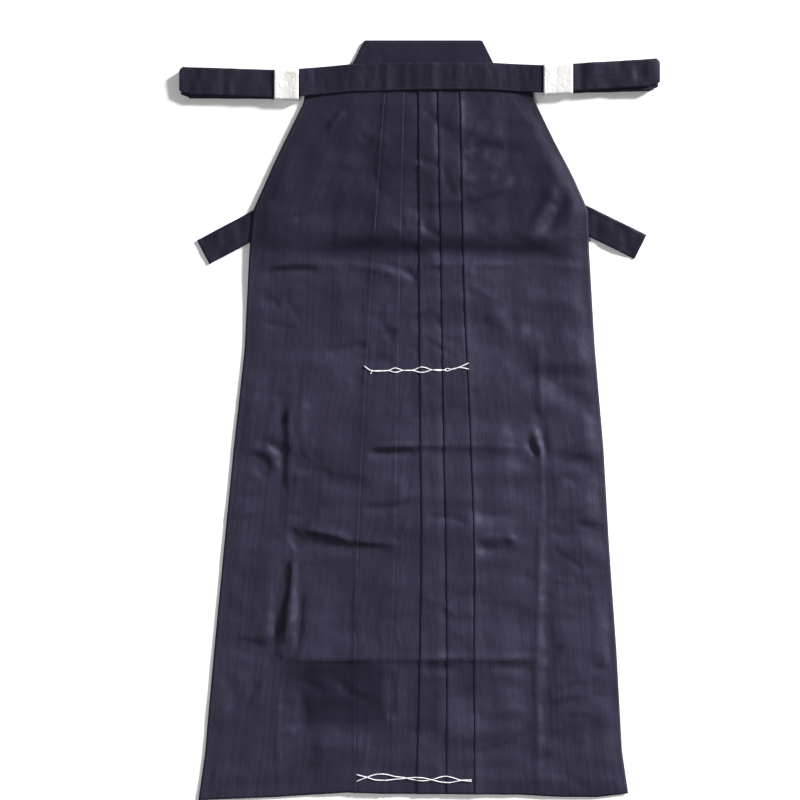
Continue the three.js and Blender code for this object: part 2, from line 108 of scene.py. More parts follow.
@dataclass(frozen=True)
class Unevenness:
    """Soft lumps of a given size over a surface, the same on every run.

    Calling it gives the height of the lumps at each place.
    """

    size: float
    height: float
    seed: int
    stretch: float = 1.0  # length of a lump along the garment over its width
    turn: float = 0.0  # angle of the lumps, in degrees
    creased: bool = False  # flat facets with creases between them

    def __call__(self, x: Array, y: Array) -> Array:
        """Works out the lumps from a repeating lattice of random heights.

        Args:
            x: Places across the garment.
            y: Places along it.

        Returns:
            The heights.
        """
        lattice = np.random.default_rng(self.seed).uniform(-1, 1, (LATTICE, LATTICE))
        way, side = math.cos(math.radians(self.turn)), math.sin(math.radians(self.turn))
        u = (x * way + y * side) / self.size + LATTICE_START[0]
        v = (y * way - x * side) / (self.size * self.stretch) + LATTICE_START[1]
        i, j = np.floor(u).astype(int), np.floor(v).astype(int)
        fu, fv = (u - i, v - j) if self.creased else (smooth(u - i), smooth(v - j))

        def corner(a: int, b: int) -> Array:
            """Returns the lattice's heights at one corner of each place's cell."""
            return lattice[(i + a) % LATTICE, (j + b) % LATTICE]

        low = corner(0, 0) * (1 - fu) + corner(1, 0) * fu
        high = corner(0, 1) * (1 - fu) + corner(1, 1) * fu
        return self.height * (low * (1 - fv) + high * fv)


# ---------------------------------------------------------------- outline and pleats


@dataclass(frozen=True)
class Edge:
    """A line down the garment: its x at a few heights, from the waist to the hem."""

    heights: tuple[float, ...]
    places: tuple[float, ...]
    soft: bool = True

    def __call__(self, y: Array) -> Array:
        """Follows the line.

        Args:
            y: Heights along the garment.

        Returns:
            The line's x at each height.
        """
        knots, values = self.heights[::-1], self.places[::-1]
        if self.soft:
            return curve_through(y, knots, values)
        return np.interp(y, knots, values)


PLEAT_HEIGHTS = (436.0, 162.0, -40.0, -175.0, -323.0, -505.0)
FAR_LEFT = Edge(PLEAT_HEIGHTS, (-44.0, -63.0, -74.0, -80.0, -83.5, -82.0))
NEAR_LEFT = Edge(PLEAT_HEIGHTS, (-17.8, -24.5, -27.9, -30.2, -35.5, -42.4))
CENTRE = Edge(PLEAT_HEIGHTS, (1.2, 2.8, 4.6, 6.1, 3.6, -0.8))
NEAR_RIGHT = Edge(PLEAT_HEIGHTS, (27.1, 32.7, 36.0, 38.8, 40.0, 39.6))
FAR_RIGHT = Edge(PLEAT_HEIGHTS, (57.0, 63.2, 72.4, 76.4, 76.4, 77.2))
PLEAT_LAP = 40.0  # how far a pleat reaches under the cloth beside it
SHORT = 5.0  # how far short of the fold above it an inner fold stops

SIDE_HEIGHTS = (471.0, 436.0, 377.0, 323.0, 281.0, 229.0, 94.0, -40.0, -175.0, -310.0, -445.0, -505.0)
SIDE_LEFT = Edge(
    SIDE_HEIGHTS,
    (-148.0, -153.3, -179.5, -202.8, -221.3, -226.0, -233.0, -247.7, -260.9, -273.8, -286.0, -295.4),
    soft=False,
)
SIDE_RIGHT = Edge(
    SIDE_HEIGHTS,
    (151.0, 156.2, 183.7, 210.8, 229.2, 230.6, 238.9, 250.5, 258.2, 267.8, 275.3, 284.0),
    soft=False,
)
BACK_HEIGHTS = (427.0, 285.0, 229.0, 94.0, -40.0, -175.0, -310.0, -445.0, -505.0)
BACK_LEFT_SIDE = Edge(
    BACK_HEIGHTS,
    (-113.0, -216.0, -225.0, -232.0, -246.7, -259.9, -272.8, -285.0, -294.4),
    soft=False,
)
BACK_RIGHT_SIDE = Edge(
    BACK_HEIGHTS,
    (127.0, 224.5, 229.6, 237.9, 249.5, 257.2, 266.8, 274.3, 283.0),
    soft=False,
)


def beside(edge: Edge, distance: float) -> Edge:
    """Returns a line that runs beside another at a distance."""
    return Edge(edge.heights, tuple(p + distance for p in edge.places), edge.soft)


MIDDLE_LEFT = Edge(PLEAT_HEIGHTS, (-0.2,) * 6)
MIDDLE_RIGHT = Edge(PLEAT_HEIGHTS, (0.2,) * 6)
TUCK_SHARE = 0.62  # of the way from the centre to the next fold, where the left leg's cloth ends
TUCK_END = Edge(
    PLEAT_HEIGHTS,
    tuple(a + TUCK_SHARE * (b - a) for a, b in zip(CENTRE.places, NEAR_RIGHT.places)),
)


WITHIN_FROM, WITHIN_REACH = 1.0, 7.0


@dataclass(frozen=True)
class Layer:
    """One layer of the stack of cloth: the lines between which it lies."""

    low: Edge
    high: Edge
    settle: float = SETTLE

    def holds(self, x: Array, y: Array) -> Array:
        """Returns where the layer lies."""
        return (x >= self.low(y)) & (x <= self.high(y))

    def within(self, x: Array, y: Array) -> Array:
        """Returns how far inside the layer's edges each place lies, from 0 to 1."""
        inside = np.minimum(x - self.low(y), self.high(y) - x)
        return smooth((inside - WITHIN_FROM) / WITHIN_REACH)

    def cover(self, x: Array, y: Array) -> Array:
        """Returns how much of the layer's rise reaches each place: 1 on it, 0 well past it."""
        past = np.maximum(self.low(y) - x, x - self.high(y))
        return 1.0 - smooth(past / self.settle)


# The lowest layer comes first.
BACK_STACK = {
    "right1": Layer(NEAR_RIGHT, BACK_RIGHT_SIDE, SOFTLY),
    "right2": Layer(NEAR_RIGHT, beside(FAR_RIGHT, -SHORT), SOFTLY),
    "right3": Layer(MIDDLE_RIGHT, beside(FAR_RIGHT, -SHORT), SOFTLY),
    "left1": Layer(BACK_LEFT_SIDE, NEAR_LEFT, SOFTLY),
    "left2": Layer(beside(FAR_LEFT, SHORT), NEAR_LEFT, SOFTLY),
    "left3": Layer(beside(FAR_LEFT, SHORT), MIDDLE_LEFT, SOFTLY),
}
FRONT_STACK = {
    "left6": Layer(beside(NEAR_LEFT, SHORT), TUCK_END),
    "left5": Layer(beside(FAR_LEFT, SHORT), TUCK_END),
    "left4": Layer(beside(FAR_LEFT, SHORT), NEAR_LEFT),
    "left3": Layer(beside(FAR_LEFT, -PLEAT_LAP), NEAR_LEFT, SOFTLY),
    "left2": Layer(beside(FAR_LEFT, -PLEAT_LAP), FAR_LEFT, SOFTLY),
    "left1": Layer(SIDE_LEFT, FAR_LEFT),
    "right6": Layer(CENTRE, beside(NEAR_RIGHT, -SHORT)),
    "right5": Layer(CENTRE, beside(FAR_RIGHT, -SHORT)),
    "right4": Layer(NEAR_RIGHT, beside(FAR_RIGHT, -SHORT)),
    "right3": Layer(NEAR_RIGHT, beside(FAR_RIGHT, PLEAT_LAP), SOFTLY),
    "right2": Layer(FAR_RIGHT, beside(FAR_RIGHT, PLEAT_LAP), SOFTLY),
    "right1": Layer(FAR_RIGHT, SIDE_RIGHT),
}


# ---------------------------------------------------------------- creases


class Fold(Enum):
    """How sharply a crease is bent."""

    SOFT = "soft"
    PRESSED = "pressed"


@dataclass(frozen=True)
class Crease:
    """A ridge of the cloth, or a trough where its height is below 0, between two places."""

    start: Place
    end: Place
    width: float
    height: float
    fold: Fold = Fold.SOFT
    bow: float = 0.0  # how far its middle lies to the left of the straight way

    def rise(self, x: Array, y: Array) -> Array:
        """Works out the crease, which fades out at both its ends.

        Args:
            x: Places across the garment.
            y: Places along it.

        Returns:
            The crease's height at each place.
        """
        ax, ay = self.start
        along = np.hypot(self.end[0] - ax, self.end[1] - ay)
        dx, dy = (self.end[0] - ax) / along, (self.end[1] - ay) / along
        t = ((x - ax) * dx + (y - ay) * dy) / along
        off = -(x - ax) * dy + (y - ay) * dx - self.bow * 4.0 * t * (1.0 - t)
        fade = min(0.5, 0.2 + 0.6 * self.width / along)
        ends = smooth(t / fade + 0.15) * smooth((1.0 - t) / fade + 0.15)
        if self.fold is Fold.PRESSED:
            return self.height * ends * np.exp(-np.abs(off) / self.width)
        return self.height * ends * np.exp(-((off / self.width) ** 2))


SOFT, PRESSED = Fold.SOFT, Fold.PRESSED
FRONT_CREASES = (
    # across, from having lain folded
    Crease((-158, 222), (215, 217), 11, -1.5, SOFT, 4),
    Crease((2, 210), (136, 210), 4, 2, PRESSED),
    Crease((-206, 205), (-100, 206), 6, 1.2, PRESSED, 5),
    Crease((120, 216), (222, 204), 7, 1.2, PRESSED),
    Crease((-75, -36), (150, -38), 5, 1.5, PRESSED, 3),
    Crease((20, -56), (160, -54), 12, -1.4),
    Crease((180, -48), (246, -62), 10, -1.6),
    Crease((-156, -146), (-86, -164), 6, 3.6, PRESSED, 3),
    Crease((-158, -156), (-30, -176), 9, -2.6, SOFT, -5),
    Crease((-90, -163), (-22, -166), 5, 2.2, PRESSED),
    Crease((80, -160), (134, -161), 5, 2.4, PRESSED, 3),
    Crease((78, -170), (132, -171), 8, -2, SOFT, -3),
    Crease((-178, -322), (162, -321), 3.5, 2, PRESSED, 2),
    Crease((-186, -396), (-42, -392), 30, -0.55, SOFT, 3),
    Crease((-188, -318), (-40, -316), 20, 1.2),
    Crease((-170, -352), (-120, -372), 8, -1.2, SOFT, 5),
    Crease((-110, -348), (-60, -380), 7, -1.2, SOFT, -5),
    Crease((-222, 250), (214, 246), 18, 1.5, SOFT, 3),
    Crease((-70, -22), (158, -24), 16, 0.8),
    Crease((-150, -132), (140, -150), 15, 0.9),
    Crease((4, -332), (60, -336), 8, -1.5),
    Crease((100, -330), (156, -334), 8, -1.8),
    Crease((-252, -305), (-196, -308), 7, -1.2),
    # down the right leg
    Crease((163, 120), (168, -140), 5, 1.3, PRESSED),
    Crease((166, -120), (163, -500), 4.5, 1.9, PRESSED, -3),
    Crease((176, -170), (172, -460), 9, -1.2),
    # down the left leg
    Crease((-152, 80), (-158, -28), 5, 1, PRESSED),
    Crease((-160, -70), (-168, -130), 5, 1.4, PRESSED),
    Crease((-172, -144), (-157, -176), 6, -2.6),
    Crease((-173, -186), (-190, -290), 7, -3.4, SOFT, -4),
    Crease((-196, -150), (-205, -310), 15, 1, SOFT, -4),
    Crease((-182, 40), (-188, -140), 7, -1.5, SOFT, 3),
    Crease((-174, 30), (-178, -130), 4.5, 1.4, PRESSED, 3),
    Crease((-250, -300), (-190, -330), 9, -1.8, SOFT, 4),
    Crease((-262, -388), (-208, -352), 11, -1.4, SOFT, -3),
    Crease((-238, -60), (-190, -62), 9, -1.4, SOFT, 4),
    Crease((-140, -80), (-60, -96), 12, -1.1, SOFT, 6),
    Crease((172, 40), (236, 18), 13, -1.2, SOFT, 4),
    Crease((176, -210), (250, -196), 15, -1.1, SOFT, 4),
    Crease((176, -440), (256, -408), 15, -1.1, SOFT, -5),
    Crease((-160, -190), (-164, -316), 5.5, -2.2, SOFT, 4),
    Crease((-167, -178), (-178, -300), 5, 2.6, SOFT, 2),
    Crease((-190, -270), (-196, -316), 6, -2.4),
    Crease((-189, -338), (-187, -500), 3.5, 1.4, PRESSED),
    Crease((-84, -160), (-80, -498), 3, 0.7, PRESSED),
    Crease((-36, -336), (-35, -404), 7, -1.8),
    # near the waist
    Crease((-146, 426), (-92, 427), 6, -1.4),
    Crease((-98, 418), (-122, 394), 5, 1.6),
    Crease((58, 427), (98, 428), 5, -1.5),
    Crease((104, 429), (136, 430), 5, -1.2),
    Crease((14, 283), (60, 298), 6, 1.3, SOFT, 3),
    Crease((60, 298), (130, 327), 7, 1.3, SOFT, -6),
    Crease((200, 312), (166, 246), 9, -1.8, SOFT, 5),
    Crease((184, 318), (150, 256), 8, 1.3, SOFT, 4),
    Crease((1, 350), (28, 342), 5, -1.2),
    Crease((4, 262), (28, 247), 6, -1.4),
    Crease((-150, 280), (-120, 380), 16, 0.9),
    # between the waist and the first basting
    Crease((-92, 218), (-24, 204), 5, -2, SOFT, 3),
    Crease((-24, 204), (0, 190), 4.5, -2),
    Crease((-94, 208), (-26, 194), 5, 1.6, SOFT, 3),
    Crease((-208, 194), (-130, 199), 5, -2.2, SOFT, 5),
    Crease((-212, 161), (-184, 158), 6, -1.4),
    Crease((138, 55), (240, 54), 12, -1.6, SOFT, 3),
    Crease((138, 124), (194, 128), 16, -1.5),
    Crease((92, 145), (128, 118), 12, 1.3),
    Crease((-122, 85), (-66, 100), 5, -1.3, SOFT, 4),
    Crease((-66, 100), (-28, 125), 5, -1.3, SOFT, -4),
    Crease((-84, 80), (-28, 80), 6, -1.4),
    Crease((-28, 79), (0, 99), 5, -1.4, SOFT, 3),
    Crease((-232, 20), (-168, 56), 6, -0.8),
    # between the bastings
    Crease((-218, -30), (-166, -42), 7, -2.4),
    Crease((-222, -42), (-204, -78), 6, -2.4),
    Crease((-208, -28), (-188, -70), 7, 1.8),
    Crease((-250, -104), (-172, -92), 6, -1.6, SOFT, -4),
    Crease((-66, -44), (0, -44), 6, -1.8),
    Crease((-66, -36), (0, -35), 4, 1.3),
    Crease((147, -26), (164, -50), 6, -2.6),
    Crease((162, 16), (172, -58), 6, -2.2),
    Crease((156, -10), (168, -54), 5, 2.2),
    Crease((12, -133), (70, -142), 5, -1.6, SOFT, 6),
    Crease((-76, -117), (-2, -107), 5, -1.6, SOFT, -6),
    Crease((78, -129), (130, -129), 6, -1.2),
    Crease((210, -138), (252, -150), 6, -1.6),
    Crease((170, -100), (246, -116), 20, 1.1),
    # below the lowest pressed fold
    Crease((170, -328), (194, -302), 7, -1.6),
    Crease((256, -244), (262, -342), 5, -1.6),
    Crease((234, -334), (260, -336), 6, -1.4),
    Crease((-266, -340), (-240, -388), 9, -1.6, SOFT, 3),
    Crease((-162, -356), (-156, -420), 7, -1.5, SOFT, 5),
    Crease((-150, -432), (-60, -436), 22, 0.9),
    Crease((20, -420), (150, -400), 24, 0.9),
)


def small_creases(
    count: int, seed: int, low: Place, high: Place, height: float
) -> tuple[Crease, ...]:
    """Short faint creases strewn over an area of the front, the same ones on every run.

    Args:
        count: How many.
        seed: Sets where they fall.
        low: The area's lower left corner.
        high: Its upper right corner.
        height: Height of the strongest.

    Returns:
        The creases, ridges and troughs.
    """
    draw = np.random.default_rng(seed)
    found = []
    for _ in range(count):
        x, y = draw.uniform(low[0], high[0]), draw.uniform(low[1], high[1])
        angle = draw.normal(0.0, 0.5) if draw.random() < 0.75 else draw.uniform(0, math.pi)
        length, width = draw.uniform(16, 58), draw.uniform(3.0, 6.5)
        rise = draw.choice((-1.0, 1.0), p=(0.62, 0.38)) * draw.uniform(0.35, 1.0) * height
        end = (x + length * math.cos(angle), y + length * math.sin(angle))
        found.append(Crease((x, y), end, width, rise, SOFT, draw.uniform(-6, 6)))
    return tuple(found)


SMALL_CREASES = (
    small_creases(85, 5, (-250.0, -495.0), (230.0, 410.0), 0.75)
    + small_creases(46, 6, (-85.0, 80.0), (75.0, 425.0), 0.8)
    + small_creases(34, 7, (-275.0, -480.0), (-150.0, 40.0), 1.0)
    + small_creases(22, 8, (140.0, -480.0), (245.0, 60.0), 0.8)
)
BACK_CREASES = (
    Crease((-210, 205), (215, 214), 5, 0.5, PRESSED),
    Crease((-235, -44), (238, -36), 5, 0.5, PRESSED),
    Crease((-240, -160), (245, -168), 6, 0.6, PRESSED),
    Crease((-262, -318), (258, -325), 6, 0.6, PRESSED),
    Crease((-140, 230), (-178, -480), 5, 0.5, PRESSED),
    Crease((138, 240), (164, -470), 5, 0.5, PRESSED),
    Crease((-210, 60), (-90, 20), 9, 0.6),
    Crease((70, -90), (200, -120), 8, 0.6),
    Crease((-200, -230), (-60, -260), 10, 0.6),
)


# ---------------------------------------------------------------- the heap under the front


@dataclass(frozen=True)
class Board:
    """The stiff back board behind the waistband."""

    top: float = 511.2
    height: float = 84.0
    top_width: float = 159.0
    bottom_width: float = 242.0
    middle: float = 7.5
    thick: float = 3.8
    clear: float = 0.4
    fade: Place = (30.0, 34.0)  # how far the cloth bridges past the board's edges

    def lift(self, x: Array, y: Array) -> Array:
        """Works out how the board lifts what lies on it.

        Args:
            x: Places across the garment.
            y: Places along it.

        Returns:
            The rise at each place.
        """
        share = np.clip((self.top - y) / self.height, 0, 1)
        half = (self.top_width + share * (self.bottom_width - self.top_width)) / 2
        inside_x = 1.0 - smooth((np.abs(x - self.middle) - half) / self.fade[0])
        inside_y = 1.0 - smooth((self.top - self.height - y) / self.fade[1])
        return (self.thick + self.clear) * inside_x * inside_y


@dataclass(frozen=True)
class BackStrapRoute:
    """Where a folded back strap runs: from the board's corner down, then out to the hip."""

    side: int  # -1 on the left, 1 on the right
    end: Place
    slope: float  # of the visible end, in degrees
    drop_x: float  # how far from the middle it comes down from the board
    fade: float = 24.0
    rim: float = 6.0

    @property
    def inward(self) -> Vector:
        """Returns the direction from the strap's visible end back under the front."""
        angle = math.radians(self.slope)
        return Vector((-self.side * math.cos(angle), math.sin(angle)))

    @property
    def corner(self) -> float:
        """Returns the distance from the visible end to the slant fold."""
        return (abs(self.end[0]) - self.drop_x) / math.cos(math.radians(self.slope))

    def imprint(self, x: Array, y: Array) -> Array:
        """Works out how the hidden strap shows through the front.

        Args:
            x: Places across the garment.
            y: Places along it.

        Returns:
            Its share at each place, from 0 to 1: full on the run to the hip, weak on the root.
        """
        way = self.inward
        half = STRAP_WIDTH / 2 - self.rim
        along = (x - self.end[0]) * way.x + (y - self.end[1]) * way.y
        off = np.abs((x - self.end[0]) * way.y - (y - self.end[1]) * way.x)
        run = 1.0 - smooth((off - half) / self.fade)
        run = run * (1.0 - smooth((along - self.corner - 20.0) / 20.0))
        root = 1.0 - smooth((np.abs(x - self.side * self.drop_x) - half) / self.fade)
        turn_y = self.end[1] + self.corner * way.y
        root = root * smooth((y - turn_y + 30.0) / 20.0)
        return np.maximum(run, 0.4 * root)


BOARD = Board()
BACK_STRAPS = {
    "left": BackStrapRoute(-1, (-288.8, 225.9), 27.8, 104.0),
    "right": BackStrapRoute(1, (300.5, 233.0), 26.0, 116.0),
}

# How far the waist's and the hem's edges droop, by their places across the garment
SAG_WAIST = ((-160.0, -90.0, 0.0, 90.0, 169.0), (9.0, 2.5, 0.0, 0.0, 4.0))
SAG_HEM = (
    (-296.0, -191.0, -94.0, -29.0, 36.0, 135.0, 192.0, 241.0, 284.0),
    (9.0, 4.7, -1.7, 0.2, 0.2, 1.2, 4.3, 4.6, -0.2),
)
SAG_FADE = 90.0
BAND_FROM = WAIST_Y - 11.0  # where the waist's droop is full


def sagged(x: Array, y: Array) -> Array:
    """Lets the waist's and the hem's edges droop; the droop dies out inwards.

    Args:
        x: Places across the garment.
        y: Places along it.

    Returns:
        The drooping places along it.
    """
    waist = np.clip(1.0 - (BAND_FROM - y) / SAG_FADE, 0, 1)
    hem = np.clip(1.0 - (y - HEM_Y) / SAG_FADE, 0, 1)
    return y - waist * np.interp(x, *SAG_WAIST) - hem * np.interp(x, *SAG_HEM)


def piled(layers: Sequence[Layer], x: Array, y: Array) -> Array:
    """Returns how many layers' rises reach each place."""
    return sum((layer.cover(x, y) for layer in layers), np.zeros_like(x))


@dataclass(frozen=True)
class Heap:
    """The garment as one heap of layers: how high any layer lies at any place.

    Every height is that of a layer's middle, over places x across the garment and y along it.
    """

    lumps: tuple[Unevenness, ...] = (
        Unevenness(95.0, 1.6, 11, 1.3),
        Unevenness(46.0, 1.1, 12),
        Unevenness(66.0, 2.3, 17, 0.6, 17.0, True),
        Unevenness(31.0, 1.15, 18, 0.8, -33.0, True),
        Unevenness(52.0, 1.1, 15, 0.32),
        Unevenness(17.0, 0.32, 13, 0.7, 24.0),
        Unevenness(9.0, 0.10, 16),
    )
    boost: float = 1.5  # how far the creases stand out over their listed heights
    least_boost: float = 1.15  # of a narrow crease
    full_width: float = 8.0  # wider creases stand out more
    press: float = 0.4  # how far a layer sinks where another lies on it
    hip_lift: float = 3.6  # room for the folded back straps between back and front
    room: float = 3.4  # between the back's heap and the front's, for the troughs
    levelling: float = 2.2  # how soon a trough that comes near the back is levelled
    calm: float = 0.35  # how much of the relief is left at the edges
    floor_gap: float = 0.02
    gusset_gap: float = 0.1

    def above_back(self, relief: Array, room: Array) -> Array:
        """Returns the relief over its room, its deepest troughs levelled to stay off the back."""
        return np.log1p(np.exp((relief + room) * self.levelling)) / self.levelling

    def back(self, name: str, x: Array, y: Array) -> Array:
        """Works out one layer of the back, or a gusset, which lies on the whole back.

        Args:
            name: The layer's name in BACK_STACK, or any other for a gusset.
            x: Places across the garment.
            y: Places along it.

        Returns:
            The layer's heights.
        """
        names = list(BACK_STACK)
        under = names[: names.index(name)] if name in names else names
        rise = piled([BACK_STACK[n] for n in under], x, y)
        relief = sum((c.rise(x, y) for c in BACK_CREASES), np.zeros_like(x))
        return THICK / 2 + LAYER * rise + relief + self.floor_gap

    def relief(self, x: Array, y: Array, edge: Array) -> Array:
        """Works out the front's creases and lumps, calmer at the edges and gone at the waist.

        Args:
            x: Places across the garment.
            y: Places along it.
            edge: How far inside the garment's edges each place lies.

        Returns:
            The relief, without the room under it.
        """
        relief = np.zeros_like(x)
        for crease in FRONT_CREASES + SMALL_CREASES:
            stress = self.boost * max(self.least_boost, crease.width / self.full_width)
            relief = relief + stress * crease.rise(x, y)
        relief = relief + sum((lump(x, y) for lump in self.lumps), np.zeros_like(x))
        at_waist = smooth((WAIST_Y - 4.0 - y) / 30.0)
        return relief * at_waist * (self.calm + (1.0 - self.calm) * smooth(edge / 26.0))

    def base(self, x: Array, y: Array) -> Array:
        """Works out the height on which the front's layers lie, creases included.

        Args:
            x: Places across the garment.
            y: Places along it.

        Returns:
            The heights.
        """
        rise = piled(list(BACK_STACK.values()), x, y)
        rise = rise * smooth((BOARD.top - BOARD.height + 12.0 - y) / 16.0)
        lift = self.hip_lift * smooth((y - 112.0) / 110.0)
        lift = np.maximum(lift, BOARD.lift(x, y))
        for strap in BACK_STRAPS.values():
            lift = lift + 0.5 * strap.imprint(x, y) * smooth((y - 150.0) / 60.0)
        edge = np.minimum(x - SIDE_LEFT(y), SIDE_RIGHT(y) - x)
        edge = np.minimum(edge, y - HEM_Y)
        room = self.room * smooth((WAIST_Y - 4.0 - y) / 60.0) * smooth((edge + 3.0) / 30.0)
        over_gusset = THICK / 2 + LAYER + self.gusset_gap
        relief = self.above_back(self.relief(x, y, edge), room)
        return over_gusset + LAYER * rise + lift + relief

    def front(self, name: str, x: Array, y: Array) -> Array:
        """Works out one layer of the front, thicker at the hem and pressed under other layers.

        Args:
            name: The layer's name in FRONT_STACK.
            x: Places across the garment.
            y: Places along it.

        Returns:
            The layer's heights.
        """
        names = list(FRONT_STACK)
        place = names.index(name)
        rise = piled([FRONT_STACK[n] for n in names[:place]], x, y)
        hem = 0.5 * smooth((HEM_Y + HEM_DEPTH - y) / 1.5 + 0.5)
        pressed = np.zeros_like(x)
        for over in names[place + 1 :]:
            pressed = np.maximum(pressed, FRONT_STACK[over].within(x, y))
        return self.base(x, y) + LAYER * rise + hem - self.press * pressed

    def top(self, x: Array, y: Array) -> Array:
        """Works out the front's uppermost face.

        Args:
            x: Places across the garment.
            y: Places along it.

        Returns:
            The face's heights.
        """
        rise = np.zeros_like(x)
        under = np.zeros_like(x)
        for layer in FRONT_STACK.values():
            rise = np.where(layer.holds(x, y), under, rise)
            under = under + layer.cover(x, y)
        return self.base(x, y) + LAYER * rise + THICK / 2


# ---------------------------------------------------------------- meshes


class Finish(Enum):
    """The finishes of the garment, by the record's material slots."""

    LEG = "leg_cloth"
    STRAP = "strap_cloth"
    BOARD = "board_cover"
    PAPER = "paper"


def sheet_mesh(name: str, points: Array, flat: Array, thick: float) -> bpy.types.Object:
    """A sheet of cloth as a thin closed shell.

    Args:
        name: Name of the new object.
        points: Rows by columns by 3, the middle of the sheet, in millimetres.
        flat: Rows by columns by 2, the place of each point on the flat cut, in millimetres.
        thick: Thickness of the shell.

    Returns:
        The object, with the flat cut as its UV map.
    """
    rows, columns = points.shape[:2]
    bm = bmesh.new()
    bmesh.ops.create_grid(bm, x_segments=columns - 1, y_segments=rows - 1, size=1.0)
    bm.verts.ensure_lookup_table()
    where = points.reshape(-1, 3) * MM
    places = flat.reshape(-1, 2) * MM
    for vertex, place in zip(bm.verts, where):
        vertex.co = place
    uv = bm.loops.layers.uv.new("cut")
    for face in bm.faces:
        face.smooth = True
        for loop in face.loops:
            loop[uv].uv = places[loop.vert.index]
    return finished(name, bm, thick)


def finished(name: str, bm: bmesh.types.BMesh, thick: float = 0.0) -> bpy.types.Object:
    """Makes a new object from a bmesh.

    Args:
        name: Name of the object.
        bm: The bmesh, which is used up.
        thick: Thickness of the shell it becomes, or 0 for a solid.

    Returns:
        The object.
    """
    mesh = bpy.data.meshes.new(name)
    bm.to_mesh(mesh)
    bm.free()
    piece = bpy.data.objects.new(name, mesh)
    bpy.context.scene.collection.objects.link(piece)
    if thick:
        shell = piece.modifiers.new("thickness", "SOLIDIFY")
        shell.thickness = thick * MM
        shell.offset = 0.0
    return piece


def dress(piece: bpy.types.Object, material: bpy.types.Material) -> None:
    """Gives a piece its material and its body.

    Args:
        piece: The piece.
        material: Its material.
    """
    piece.data.materials.append(material)
    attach(piece, "root")


@dataclass(frozen=True)
class Run:
    """One stretch of a folded sheet: a layer of a stack, walked from one line to another."""

    layer: str
    start: Edge
    stop: Edge
    shown: bool = False


@dataclass
class PleatedPanel:
    """A leg panel, folded to and fro through its stack of layers."""

    name: str
    runs: tuple[Run, ...]
    height: Callable[[str, Array, Array], Array]
    top: float
    rests_on: tuple[str, ...]
    row: float = CELL
    cell: float = CELL
    turn: float = LAYER / 2  # radius of a fold

    def rows(self) -> Array:
        """Returns the heights along the garment of the mesh's rows."""
        return np.linspace(self.top, HEM_Y, int((self.top - HEM_Y) / self.row) + 1)

    def points(self) -> Array:
        """Walks the runs and rounds the folds between them.

        Returns:
            The panel's points, row by row.
        """
        y = self.rows()
        columns = []
        for i, run in enumerate(self.runs):
            start, stop = run.start(y), run.stop(y)
            way = np.sign(stop[-1] - start[-1])
            first = start + (way * self.turn if i else 0.0)
            last = stop - (way * self.turn if i + 1 < len(self.runs) else 0.0)
            cell = self.cell if run.shown else HIDDEN_CELL
            count = max(3, int(np.abs(last - first).max() / cell) + 1)
            for share in np.linspace(0.0, 1.0, count):
                x = first + share * (last - first)
                columns.append((x, y, self.height(run.layer, x, y)))
            if i + 1 < len(self.runs):
                after = self.runs[i + 1].layer
                here, there = self.height(run.layer, last, y), self.height(after, last, y)
                for angle in (math.pi / 4, math.pi / 2, 3 * math.pi / 4):
                    x = last + way * self.turn * math.sin(angle)
                    z = (here + there) / 2 + (here - there) / 2 * math.cos(angle)
                    columns.append((x, y, z))
        grid = np.stack([np.stack(c, axis=-1) for c in columns], axis=1)
        grid[..., 1] = sagged(grid[..., 0], grid[..., 1])
        return grid

    def build(self, material: bpy.types.Material) -> None:
        """Makes the panel and states its cut.

        Args:
            material: The panel's cloth.
        """
        points = self.points()
        steps = np.linalg.norm(np.diff(points, axis=1), axis=2)
        across = np.concatenate([np.zeros((len(points), 1)), np.cumsum(steps, axis=1)], axis=1)
        flat = np.stack([across, points[..., 1]], axis=-1)
        piece = sheet_mesh(self.name + "_cloth", points, flat, THICK)
        dress(piece, material)
        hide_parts(self.name)


HEAP = Heap()


